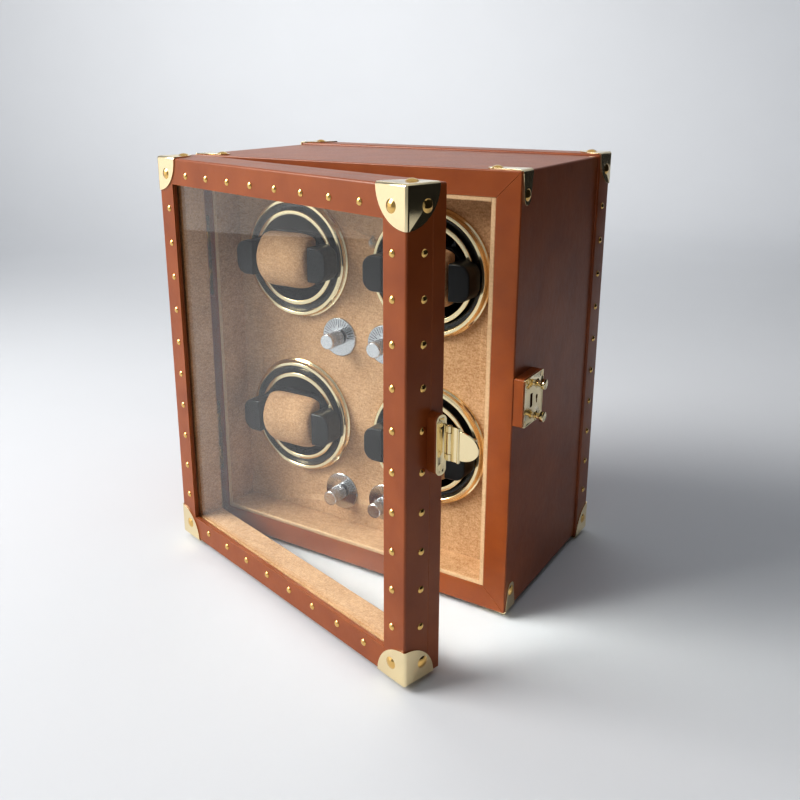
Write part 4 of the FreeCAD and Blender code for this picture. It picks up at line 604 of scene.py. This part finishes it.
def leatherette_finish(colours):
    """Polyurethane leatherette, embossed: near black, matt, with a fine pebble."""
    pebble_pitch = 0.9
    rub_pitch = 12
    material, tree, shader, place = start_material(
        "embossed_leatherette", Roughness=0.4, Specular_IOR_Level=0.3,
        Base_Color=opaque(colours.leatherette))
    pebble = add_node(
        tree, "ShaderNodeTexVoronoi", {"Scale": per_metre(pebble_pitch)}, {"Vector": place})
    grain = add_node(
        tree, "ShaderNodeBump", {"Strength": 0.1, "Distance": 0.08 * MM},
        {"Height": pebble.outputs["Distance"]})
    rubbed = add_node(
        tree, "ShaderNodeTexNoise", {"Scale": per_metre(rub_pitch), "Detail": 3.0},
        {"Vector": place})
    gloss = add_node(
        tree, "ShaderNodeMapRange", {"To Min": 0.26, "To Max": 0.42},
        {"Value": rubbed.outputs["Fac"]})
    tree.links.new(gloss.outputs["Result"], shader.inputs["Roughness"])
    tree.links.new(grain.outputs["Normal"], shader.inputs["Normal"])
    return material


def metal_finish(name, colour, roughness, pitch_mm, strength):
    """Bare metal, turned or brushed: fine lines whose depth sets how far glints spread."""
    material, tree, shader, place = start_material(
        name, Metallic=1.0, Roughness=roughness, Base_Color=opaque(colour))
    lines = add_node(
        tree, "ShaderNodeTexNoise", {"Scale": per_metre(pitch_mm), "Detail": 5.0},
        {"Vector": place})
    gloss = add_node(
        tree, "ShaderNodeMapRange",
        {"To Min": roughness * 0.7, "To Max": roughness * 1.4}, {"Value": lines.outputs["Fac"]})
    cut = add_node(
        tree, "ShaderNodeBump", {"Strength": strength, "Distance": 0.1 * MM},
        {"Height": lines.outputs["Fac"]})
    tree.links.new(gloss.outputs["Result"], shader.inputs["Roughness"])
    tree.links.new(cut.outputs["Normal"], shader.inputs["Normal"])
    return material


def enamel_finish():
    """Black enamel, wiped into a mark: dense, half matt, a little thin at places."""
    thin_pitch = 1.0
    material, tree, shader, place = start_material("black_enamel", Roughness=0.4)
    thin = add_node(
        tree, "ShaderNodeTexNoise", {"Scale": per_metre(thin_pitch), "Detail": 2.0},
        {"Vector": place})
    colour = add_node(
        tree, "ShaderNodeMix",
        {"data_type": "RGBA", 6: opaque(linear("060606")), 7: opaque(linear("1E1D1C"))},
        {0: thin.outputs["Fac"]})
    tree.links.new(colour.outputs[2], shader.inputs["Base Color"])
    return material


def felt_finish():
    """Wool felt, pressed: dark, matt and fibrous, its fibres drawn coarse enough to show."""
    fibre_pitch = 1.2
    material, tree, shader, place = start_material(
        "pressed_felt", Roughness=1.0, Specular_IOR_Level=0.1, Sheen_Weight=0.3)
    fibres = add_node(
        tree, "ShaderNodeTexNoise", {"Scale": per_metre(fibre_pitch), "Detail": 6.0},
        {"Vector": place})
    colour = add_node(
        tree, "ShaderNodeMix",
        {"data_type": "RGBA", 6: opaque(linear("141312")), 7: opaque(linear("2E2B28"))},
        {0: fibres.outputs["Fac"]})
    fuzz = add_node(
        tree, "ShaderNodeBump", {"Strength": 0.6, "Distance": 0.3 * MM},
        {"Height": fibres.outputs["Fac"]})
    tree.links.new(colour.outputs[2], shader.inputs["Base Color"])
    tree.links.new(fuzz.outputs["Normal"], shader.inputs["Normal"])
    return material


def board_finish():
    """Glass-fibre board under green solder mask: a weave shows faintly through the gloss."""
    weave_pitch = 1.6
    material, tree, shader, place = start_material("solder_mask", Roughness=0.35)
    weave = add_node(
        tree, "ShaderNodeTexNoise", {"Scale": per_metre(weave_pitch), "Detail": 3.0},
        {"Vector": place})
    colour = add_node(
        tree, "ShaderNodeMix",
        {"data_type": "RGBA", 6: opaque(linear("0F4A2C")), 7: opaque(linear("1C6B42"))},
        {0: weave.outputs["Fac"]})
    tree.links.new(colour.outputs[2], shader.inputs["Base Color"])
    return material


def clear_finish(name, tint, ior, clear=1.0, roughness=0.0):
    """Polished clear sheet or moulding: lamps shine through it, and it mirrors faintly."""
    ripple_pitch = 60
    material, tree, shader, place = start_material(
        name, Roughness=roughness, IOR=ior, Transmission_Weight=clear, Base_Color=opaque(tint))
    ripple = add_node(
        tree, "ShaderNodeTexNoise", {"Scale": per_metre(ripple_pitch), "Detail": 1.0},
        {"Vector": place})
    drawn = add_node(
        tree, "ShaderNodeBump", {"Strength": 0.02, "Distance": 0.2 * MM},
        {"Height": ripple.outputs["Fac"]})
    tree.links.new(drawn.outputs["Normal"], shader.inputs["Normal"])
    rays = add_node(tree, "ShaderNodeLightPath")
    through = add_node(tree, "ShaderNodeBsdfTransparent", {"Color": opaque(tint)})
    mix = add_node(
        tree, "ShaderNodeMixShader",
        links={0: rays.outputs["Is Shadow Ray"], 1: shader.outputs["BSDF"],
               2: through.outputs["BSDF"]})
    output = next(node for node in tree.nodes if node.type == "OUTPUT_MATERIAL")
    tree.links.new(mix.outputs["Shader"], output.inputs["Surface"])
    return material


FINISHES = {
    "leather": leather_finish,
    "suede": suede_finish,
    # The liner's suede, painted lighter along its front edge: raised nap and a painted highlight
    "liner suede": lambda colours: suede_finish(
        colours, "raised_suede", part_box("recess_liner")[0].y),
    "brass": lambda colours: brass_finish("pressed_gilt_brass", colours.brass),
    "nail brass": lambda colours: brass_finish("drawn_gilt_brass", colours.nail_gilt),
    "plastic": plastic_finish,
    "leatherette": leatherette_finish,
    "aluminium": lambda colours: metal_finish(
        "turned_aluminium", colours.aluminium, 0.2, 0.5, 0.2),
    "steel": lambda colours: metal_finish("lapped_steel", colours.steel, 0.14, 0.9, 0.06),
    "enamel": lambda colours: enamel_finish(),
    "felt": lambda colours: felt_finish(),
    "board": lambda colours: board_finish(),
    "glass": lambda colours: clear_finish("float_glass", linear("FAFCFB"), 1.38),
    "acrylic": lambda colours: clear_finish(
        "moulded_acrylic", linear("FBF6EE"), 1.49, clear=0.75),
}


def finish(name):
    """The material of a finish, made once."""
    tag = "winder_finish"
    for material in bpy.data.materials:
        if material.get(tag) == name:
            return material
    material = FINISHES[name](bpy.context.scene.winder_colours)
    material[tag] = name
    return material


# Pieces

ROTORS = (1, 2, 3, 4)


class WINDER_OT_leather_pieces(bpy.types.Operator):
    """Cover the boards, strips and blocks with leather."""

    bl_idname = "winder.leather_pieces"
    bl_label = "Leather pieces"

    def execute(self, context):
        edge = context.scene.winder_sizes.edge
        for node in ("case_shell", "front_rim", "rear_band", "back_panel", "lock_body",
                     "door_frame", "door_leather", "hasp_block"):
            dressed(node, finish("leather"), edge=edge)
        return {"FINISHED"}


class WINDER_OT_suede_pieces(bpy.types.Operator):
    """Cover the recess, the panel and the door's lining with suede."""

    bl_idname = "winder.suede_pieces"
    bl_label = "Suede pieces"

    def execute(self, context):
        edge = 2 * context.scene.winder_sizes.edge
        dressed("rotor_panel", finish("suede"))
        dressed("recess_liner", finish("liner suede"), edge=edge)
        dressed("door_lining", finish("suede"), edge=edge)
        return {"FINISHED"}


class WINDER_OT_gilt_trim(bpy.types.Operator):
    """Give the caps, straps, nails, rivets, hinges and hasp their gilt."""

    bl_idname = "winder.gilt_trim"
    bl_label = "Gilt trim"

    def execute(self, context):
        edge = context.scene.winder_sizes.edge
        for node in ("rear_corner_caps", "front_straps", "door_corner_caps", "lock_plate",
                     "hasp_plate", "hasp_flap"):
            dressed(node, finish("brass"), edge=edge)
        for node in ("case_nails", "door_nails", "case_rivets", "door_rivets"):
            dressed(node, finish("nail brass"))
        for node in ("case_screws", "door_screws", "hinge_leaves_case",
                     "hinge_leaves_door", "hinge_pins", "hasp_pin"):
            dressed(node, finish("brass"))
        slot = context.scene.winder_sizes.slot_width
        for node in ("case_screws", "door_screws"):
            heads = [slotted_head(solid, slot) for solid in solids_of(node)]
            add_piece(
                node + "_slotted", joined(node + "_slotted", heads), finish("brass"),
                body_of_node(node))
        return {"FINISHED"}


# The gilt ring round a rotor: its width, the step of its flange, the rise of its lip over
# the flange, and the width and height of the slopes inside and outside its flat face
RING_WIDTH = 5.5 * MM
RING_FLANGE = 1.6 * MM
RING_LIP = 0.8 * MM
RING_LINE_DEPTH = 0.35 * MM
RING_INNER_SLOPE = (0.6 * MM, 0.5 * MM)
RING_OUTER_SLOPE = (1.1 * MM, 1.3 * MM)
# How round its corners are: at the bore, the face, the crown and the flange
RING_ROUNDS = (0.3 * MM, 0.6 * MM, 0.5 * MM, 0.4 * MM)


def ring_profile(foot, height, groove):
    """The ring's section, as radius and depth: a flat face, a turned line and a flange."""
    bore = foot - RING_WIDTH
    crown = foot - RING_FLANGE
    inner_width, inner_height = RING_INNER_SLOPE
    outer_width, outer_height = RING_OUTER_SLOPE
    bore_round, face_round, crown_round, flange_round = RING_ROUNDS
    line = -height / 2
    return rounded_outline([
        (bore, 0, 0),
        (bore, inner_height - height, bore_round),
        (bore + inner_width, -height, bore_round),
        (crown - outer_width, -height, face_round),
        (crown, outer_height - height, crown_round),
        (crown, line - groove / 2, 0),
        (crown - RING_LINE_DEPTH, line, 0),
        (crown, line + groove / 2, 0),
        (crown, -RING_FLANGE - RING_LIP, crown_round),
        (foot, -RING_FLANGE, flange_round),
        (foot, 0, 0),
        (bore, 0, 0),
    ])


class WINDER_OT_rotors(bpy.types.Operator):
    """Turn the fixed gilt rings, and finish the black wells, the cups and their rings."""

    bl_idname = "winder.rotors"
    bl_label = "Rotors"

    def execute(self, context):
        low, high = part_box("rotor_bezels")
        foot = (high.x - low.x) / 2 - abs(middle_of("cup_1").x)
        profile = ring_profile(foot, high.y - low.y, context.scene.winder_sizes.groove)
        places = [middle_of(f"cup_{number}") for number in ROTORS]
        rings = [
            turned("ring", profile, (spot.x, high.y, spot.z), steps=160) for spot in places]
        add_piece(
            "rotor_bezels_turned", joined("rotor_bezels_turned", rings), finish("brass"),
            "case", ("rotor_bezels",))
        dressed("rotor_wells", finish("plastic"))
        for number in ROTORS:
            dressed(f"cup_{number}", finish("plastic"))
            dressed(f"cup_ring_{number}", finish("brass"))
        return {"FINISHED"}


class WINDER_OT_cuffs(bpy.types.Operator):
    """Cover the carriers, and pad the four cuffs."""

    bl_idname = "winder.cuffs"
    bl_label = "Cuffs"

    def execute(self, context):
        edge = 2 * context.scene.winder_sizes.edge
        first = middle_of("cuff_pad_1")
        cushion = swollen_pad("cuff_pad_1")
        for number in ROTORS:
            dressed(f"cuff_frame_{number}", finish("leatherette"), edge=edge)
            mesh = cushion.copy()
            mesh.transform(Matrix.Translation(middle_of(f"cuff_pad_{number}") - first))
            piece = add_piece(
                f"cuff_pad_{number}_padded", mesh, finish("suede"), f"cuff_{number}",
                (f"cuff_pad_{number}",))
        bpy.data.meshes.remove(cushion)
        return {"FINISHED"}


# The cushions: how tight they are, how much smaller they start, the size of their mesh,
# the pressure and mass of their cloth, the frames it moves for and how far a point may go
PAD_START = 0.96
PAD_VOXEL = 1.6 * MM
PAD_PRESSURE = 4.0
PAD_MASS = 0.1
PAD_FRAMES = 20
PAD_TRAVEL = 1.2 * MM


def swollen_pad(node):
    """The pad's mesh remeshed, drawn in a little and swollen under pressure as cloth."""
    mesh = frame["nodes"][node].data.copy()
    tidied(mesh, CLOTH_ANGLE)
    pad = bpy.data.objects.new("pad_work", mesh)
    scene = bpy.context.scene
    scene.collection.objects.link(pad)
    middle = middle_of(node)
    mesh.transform(
        Matrix.Translation(middle) @ Matrix.Scale(PAD_START, 4) @ Matrix.Translation(-middle))
    remesh = pad.modifiers.new("even", "REMESH")
    remesh.mode = "VOXEL"
    remesh.voxel_size = PAD_VOXEL
    start = applied_mesh(pad)
    before = np.zeros(len(start.vertices) * 3)
    start.vertices.foreach_get("co", before)
    pad.modifiers.clear()
    pad.data = start
    cloth = pad.modifiers.new("swell", "CLOTH")
    cloth.settings.use_pressure = True
    cloth.settings.uniform_pressure_force = PAD_PRESSURE
    cloth.settings.effector_weights.gravity = 0.0
    cloth.settings.mass = PAD_MASS
    for number in range(1, PAD_FRAMES + 1):
        scene.frame_set(number)
    swollen = applied_mesh(pad)
    scene.frame_set(1)
    after = np.zeros_like(before)
    swollen.vertices.foreach_get("co", after)
    travel = (after - before).reshape(-1, 3)
    length = np.linalg.norm(travel, axis=1, keepdims=True)
    limited = travel * np.minimum(1, PAD_TRAVEL / np.maximum(length, 1e-9))
    swollen.vertices.foreach_set("co", (before.reshape(-1, 3) + limited).ravel())
    pad.modifiers.clear()
    pad.data = swollen
    subdivide = pad.modifiers.new("smooth", "SUBSURF")
    subdivide.levels = 1
    subdivide.render_levels = 1
    result = applied_mesh(pad)
    bpy.data.objects.remove(pad)
    return tidied(result, CLOTH_ANGLE)


def applied_mesh(piece):
    """A new mesh of the piece with its modifiers applied."""
    graph = bpy.context.evaluated_depsgraph_get()
    graph.update()
    return bpy.data.meshes.new_from_object(piece.evaluated_get(graph))


class WINDER_OT_controls(bpy.types.Operator):
    """Turn the ribbed knobs, and mark the dial plates with ticks."""

    bl_idname = "winder.controls"
    bl_label = "Controls"

    def execute(self, context):
        sizes = context.scene.winder_sizes
        plates = []
        ticks = []
        dial_low, dial_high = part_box("dial_plates")
        radius = (dial_high.x - dial_low.x) / 2 - abs(middle_of("knob_1").x)
        for number in ROTORS:
            low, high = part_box(f"knob_{number}")
            spot = (low + high) / 2
            knob = ribbed_knob(low, high, sizes.ribs, sizes.rib_depth)
            add_piece(
                f"knob_{number}_ribbed", knob, finish("aluminium"), f"control_{number}",
                (f"knob_{number}",))
            plates.append(dial(spot, radius, dial_low.y, dial_high.y))
            ticks.append(dial_ticks(spot, radius, dial_low.y, sizes.ticks, sizes.tick_width))
        add_piece(
            "dial_plates_lapped", joined("dial_plates_lapped", plates), finish("steel"),
            "case", ("dial_plates",))
        add_piece(
            "dial_ticks", joined("dial_ticks", ticks), finish("enamel"), "case")
        dressed("potentiometers", finish("plastic"))
        return {"FINISHED"}


# A knob's grip and the radius of its spindle; its face is dished inside a rim, and
# chamfered outside it
KNOB_LENGTH = 16 * MM
KNOB_SPINDLE = 2.8 * MM
KNOB_DISH = 0.35 * MM
KNOB_RIM = 1.5 * MM
KNOB_CHAMFER = 0.7 * MM
# Where the line turned round the grip begins and ends, its depth and the width of its walls
KNOB_LINE = (1.5 * MM, 2.0 * MM)
KNOB_LINE_DEPTH = 0.35 * MM
KNOB_LINE_WALL = 0.1 * MM
# How far the ribs stay from the grip's front and back, and the length over which they fade
KNOB_RIBS = (2.3 * MM, 1.3 * MM)
KNOB_FADE = 0.3 * MM
# How round its corners are: inside and outside the rim, past the chamfer and at the back
KNOB_ROUNDS = (0.4 * MM, 0.2 * MM, 0.25 * MM, 0.5 * MM)


def ribbed_knob(low, high, ribs, depth):
    """A turned knob: the radius falls by depth * sin^4 of half the rib count times the angle.

    The ribs fade out towards both ends, where the metal is left round.
    """
    spot = (low + high) / 2
    radius = (high.x - low.x) / 2
    end = high.y - low.y
    line_start, line_stop = KNOB_LINE
    start = KNOB_RIBS[0]
    stop = KNOB_LENGTH - KNOB_RIBS[1]
    rim_round, face_round, chamfer_round, back_round = KNOB_ROUNDS
    profile = rounded_outline([
        (0, KNOB_DISH, 0),
        (radius - KNOB_RIM, 0, rim_round),
        (radius - KNOB_CHAMFER, 0, face_round),
        (radius, KNOB_CHAMFER, chamfer_round),
        (radius, line_start, 0),
        (radius - KNOB_LINE_DEPTH, line_start + KNOB_LINE_WALL, 0),
        (radius - KNOB_LINE_DEPTH, line_stop - KNOB_LINE_WALL, 0),
        (radius, line_stop, 0),
        (radius, start + KNOB_FADE, 0),
        (radius, KNOB_LENGTH / 2, 0),
        (radius, stop - KNOB_FADE, 0),
        (radius, stop + KNOB_FADE, 0),
        (radius, KNOB_LENGTH, back_round),
        (KNOB_SPINDLE, KNOB_LENGTH, 0),
        (KNOB_SPINDLE, end, 0),
        (0, end, 0),
    ], steps=5)

    def rib_cut(turn, along):
        inside = (along > start) & (along < stop)
        return np.where(inside, depth * np.sin(turn * ribs / 2) ** 4, 0)

    return turned("knob", profile, (spot.x, low.y, spot.z), steps=8 * ribs, ribs=rib_cut)


# A dial plate: the radius of its hole, and the width, height and roundness of its rim
DIAL_BORE = 3.7 * MM
DIAL_RIM_WIDTH = 0.6 * MM
DIAL_RIM_HEIGHT = 0.5 * MM
DIAL_ROUND = 0.2 * MM


def dial(spot, radius, front, back):
    """A flat ring with an eased rim, turned about the knob's axis."""
    profile = rounded_outline([
        (DIAL_BORE, back - front, 0),
        (DIAL_BORE, 0, 0),
        (radius - DIAL_RIM_WIDTH, 0, DIAL_ROUND),
        (radius, DIAL_RIM_HEIGHT, DIAL_ROUND),
        (radius, back - front, 0),
        (DIAL_BORE, back - front, 0),
    ])
    return turned("dial", profile, (spot.x, front, spot.z))


# The ticks' first and last angles, where they start and end as shares of the dial's
# radius, how many steps lie between long ones, and how deep and how proud they are
TICK_ARC = (math.radians(2), math.radians(178))
TICK_LONG = 0.5
TICK_SHORT = 0.62
TICK_END = 0.93
TICK_LONG_EVERY = 3
TICK_SUNK = 0.02 * MM
TICK_PROUD = 0.06 * MM


def dial_ticks(spot, radius, front, count, width):
    """Radial bars on the dial's upper half, each third one longer.

    Each bar is a box whose corners are an inner and an outer radius, half the width to
    each side, along the directions of evenly spaced angles.
    """
    angles = np.linspace(*TICK_ARC, count)
    number = np.arange(count)
    inner = np.where(number % TICK_LONG_EVERY == 0, TICK_LONG, TICK_SHORT) * radius
    outer = np.full(count, radius * TICK_END)
    along = np.stack([np.cos(angles), np.zeros(count), np.sin(angles)], axis=-1)
    across = np.stack([-np.sin(angles), np.zeros(count), np.cos(angles)], axis=-1)
    corners = []
    for depth in (TICK_SUNK, -TICK_PROUD):
        for reach, side in ((inner, -1), (outer, -1), (outer, 1), (inner, 1)):
            corner = reach[:, None] * along + side * width / 2 * across
            corners.append(corner + np.array((spot.x, front + depth, spot.z)))
    points = np.stack(corners, axis=1)
    box_faces = np.array([
        (0, 1, 2, 3), (7, 6, 5, 4), (0, 4, 5, 1), (1, 5, 6, 2), (2, 6, 7, 3), (3, 7, 4, 0)])
    faces = (box_faces[None] + 8 * number[:, None, None]).reshape(-1, 4)
    mesh = bpy.data.meshes.new("ticks")
    mesh.from_pydata(points.reshape(-1, 3).tolist(), [], faces.tolist())
    return tidied(mesh, CARRIED_ANGLE, outwards=True)


class WINDER_OT_lock(bpy.types.Operator):
    """Finish the bolt and the two posts."""

    bl_idname = "winder.lock"
    bl_label = "Lock"

    def execute(self, context):
        dressed("lock_bolt", finish("steel"), edge=context.scene.winder_sizes.edge / 2)
        for level in ("upper", "lower"):
            dressed(f"lock_post_{level}", finish("brass"))
        return {"FINISHED"}


# The eased edges of the pane and of the felt, and the sharpest edge that the lens smooths
GLASS_EDGE = 0.2 * MM
FELT_EDGE = 0.8 * MM
LENS_ANGLE = math.radians(10)


class WINDER_OT_clear_pieces(bpy.types.Operator):
    """Give the pane and the lens their clear finishes."""

    bl_idname = "winder.clear_pieces"
    bl_label = "Clear pieces"

    def execute(self, context):
        dressed("door_glass", finish("glass"), edge=GLASS_EDGE)
        dressed("indicator_lens", finish("acrylic"), angle=LENS_ANGLE)
        return {"FINISHED"}


class WINDER_OT_inner_pieces(bpy.types.Operator):
    """Finish what sits inside, behind and under the case."""

    bl_idname = "winder.inner_pieces"
    bl_label = "Inner pieces"

    def execute(self, context):
        dressed("winder_motors", finish("steel"))
        dressed("control_board", finish("board"))
        dressed("dc_inlet", finish("plastic"))
        dressed("base_pad", finish("felt"), edge=FELT_EDGE)
        return {"FINISHED"}


class WINDER_OT_stage(bpy.types.Operator):
    """Make the paper sweep, the lights and the camera."""

    bl_idname = "winder.stage"
    bl_label = "Stage"

    def execute(self, context):
        stage = context.scene.winder_stage
        make_sweep(stage)
        make_flag()
        make_lights(stage)
        make_camera()
        context.scene.view_settings.view_transform = "Standard"
        context.scene.view_settings.look = "Medium High Contrast"
        return {"FINISHED"}


# The sweep: the radius of its bend, the height of its wall, the pitch of the paper's
# clouds in millimetres and how much brighter they are
SWEEP_BEND = 0.9
SWEEP_WALL = 2.6
PAPER_PITCH = 160
PAPER_LIFT = 1.03


def make_sweep(stage):
    """A bowl: flat to a radius, then a quarter circle up, then a straight wall."""
    flat = stage.flat_radius
    angles = np.linspace(0, math.pi / 2, 24)
    radius = np.concatenate(
        [[0, flat / 2], flat + SWEEP_BEND * np.sin(angles), [flat + SWEEP_BEND]])
    height = np.concatenate([[0, 0], SWEEP_BEND * (1 - np.cos(angles)), [SWEEP_WALL]])
    mesh = turned("sweep", np.stack([radius, height], axis=-1), (0, 0, 0), axis="z", steps=96)
    mesh.flip_normals()
    material, tree, shader, place = start_material("matt_paper", Roughness=0.9)
    clouds = add_node(
        tree, "ShaderNodeTexNoise", {"Scale": per_metre(PAPER_PITCH), "Detail": 3.0},
        {"Vector": place})
    brighter = tuple(min(part * PAPER_LIFT, 1.0) for part in stage.floor)
    colour = add_node(
        tree, "ShaderNodeMix",
        {"data_type": "RGBA", 6: opaque(stage.floor), 7: opaque(brighter)},
        {0: clouds.outputs["Fac"]})
    tree.links.new(colour.outputs[2], shader.inputs["Base Color"])
    sweep = bpy.data.objects.new("paper_sweep", mesh)
    mesh.materials.append(material)
    bpy.context.scene.collection.objects.link(sweep)


# The middle of the black cloth's foot, its half width, its height and how far it bows
FLAG_FOOT = (0.6, 0.7, 0.1)
FLAG_REACH = 1.1
FLAG_HEIGHT = 0.65
FLAG_BOW = 0.06


def make_flag():
    """A black cloth at the right, hidden from the camera, that keeps that side dark.

    A point is the foot, less the bow times across^2, plus the reach times across and the
    height times up.
    """
    across, up = np.meshgrid(np.linspace(-1, 1, 13), np.linspace(0, 1, 9), indexing="ij")
    x, y, z = FLAG_FOOT
    points = np.stack(
        [x - FLAG_BOW * across ** 2, y + FLAG_REACH * across, z + FLAG_HEIGHT * up], axis=-1)
    cloth = start_material(
        "black_duvetyn", Roughness=1.0, Base_Color=opaque(linear("0C0C0C")))[0]
    mesh = surface("black_flag", points)
    mesh.materials.append(cloth)
    flag = bpy.data.objects.new("black_flag", mesh)
    flag.visible_camera = False
    bpy.context.scene.collection.objects.link(flag)


# Each soft light's setting, place, target, width and height, and spread in degrees
SOFT_LIGHTS = {
    "window_light": ("key", (-1.45, -1.15, 1.5), (0, 0, 0.15), (1.4, 1.2), 80),
    "low_card": ("card", (-1.35, -1.0, 0.45), (0, 0, 0.2), (1.7, 0.9), 180),
    "backdrop_light": ("backdrop", (-0.7, 0.5, 2.4), (-1.4, 1.9, 1.1), (1.6, 1.2), 90),
}


def make_lights(stage):
    """A window light and a low card at the left, a light on the sweep, and a pale room."""
    for name, (setting, place, target, size, spread) in SOFT_LIGHTS.items():
        lamp = bpy.data.lights.new(name, "AREA")
        lamp.shape = "RECTANGLE"
        lamp.size, lamp.size_y = size
        lamp.spread = math.radians(spread)
        lamp.energy = getattr(stage, setting)
        lamp.color = linear("FFFDFA")
        item = bpy.data.objects.new(name, lamp)
        item.location = place
        item.rotation_euler = (Vector(target) - Vector(place)).to_track_quat("-Z", "Y").to_euler()
        item.visible_camera = False
        bpy.context.scene.collection.objects.link(item)
    world = bpy.data.worlds.new("pale_room")
    world.use_nodes = True
    background = world.node_tree.nodes["Background"]
    background.inputs["Color"].default_value = opaque(linear("E9ECF0"))
    background.inputs["Strength"].default_value = stage.world
    bpy.context.scene.world = world


# The photograph's camera, fitted to the case's and the door's edges
CAMERA_PLACE = (0.37995, -0.62280, 0.38910)
CAMERA_TURN = -32.637
CAMERA_TILT = 16.555
CAMERA_ROLL = -0.181
CAMERA_LENS = 39.59
CAMERA_SHIFT = (0.0239, -0.0668)


def make_camera():
    """The camera at the photograph's angle; it looks along -Z of its own axes."""
    data = bpy.data.cameras.new("photo_camera")
    data.sensor_width = 36.0
    data.lens = CAMERA_LENS
    data.shift_x, data.shift_y = CAMERA_SHIFT
    camera = bpy.data.objects.new("photo_camera", data)
    turn = math.radians(-CAMERA_TURN)
    upright = Euler((math.radians(90 - CAMERA_TILT), 0, turn)).to_matrix()
    roll = Euler((0, 0, math.radians(CAMERA_ROLL))).to_matrix()
    camera.matrix_world = (
        Matrix.Translation(CAMERA_PLACE) @ (upright @ roll).to_4x4())
    bpy.context.scene.collection.objects.link(camera)
    bpy.context.scene.camera = camera


class WINDER_PT_looks(bpy.types.Panel):
    """The winder's pieces, sizes and colours."""

    bl_idname = "WINDER_PT_looks"
    bl_label = "Watch winder"
    bl_space_type = "VIEW_3D"
    bl_region_type = "UI"
    bl_category = "Winder"

    def draw(self, context):
        for operator in OPERATORS:
            self.layout.operator(operator.bl_idname)
        for group in (context.scene.winder_colours, context.scene.winder_sizes,
                      context.scene.winder_stage):
            box = self.layout.box()
            for name in group.__annotations__:
                box.prop(group, name)


GROUPS = (WinderColours, WinderSizes, WinderStage)
OPERATORS = (
    WINDER_OT_leather_pieces,
    WINDER_OT_suede_pieces,
    WINDER_OT_gilt_trim,
    WINDER_OT_rotors,
    WINDER_OT_cuffs,
    WINDER_OT_controls,
    WINDER_OT_lock,
    WINDER_OT_clear_pieces,
    WINDER_OT_inner_pieces,
    WINDER_OT_stage,
)


def register():
    """Register the classes, and hang the settings on the scene."""
    for item in (*GROUPS, *OPERATORS, WINDER_PT_looks):
        bpy.utils.register_class(item)
    bpy.types.Scene.winder_colours = PointerProperty(type=WinderColours)
    bpy.types.Scene.winder_sizes = PointerProperty(type=WinderSizes)
    bpy.types.Scene.winder_stage = PointerProperty(type=WinderStage)


def unregister():
    """Undo what register does."""
    del bpy.types.Scene.winder_stage
    del bpy.types.Scene.winder_sizes
    del bpy.types.Scene.winder_colours
    for item in (WINDER_PT_looks, *reversed(OPERATORS), *reversed(GROUPS)):
        bpy.utils.unregister_class(item)


def main():
    """Make every piece and the stage."""
    register()
    bpy.ops.winder.leather_pieces()
    bpy.ops.winder.suede_pieces()
    bpy.ops.winder.gilt_trim()
    bpy.ops.winder.rotors()
    bpy.ops.winder.cuffs()
    bpy.ops.winder.controls()
    bpy.ops.winder.lock()
    bpy.ops.winder.clear_pieces()
    bpy.ops.winder.inner_pieces()
    bpy.ops.winder.stage()


if __name__ == "__main__":
    main()
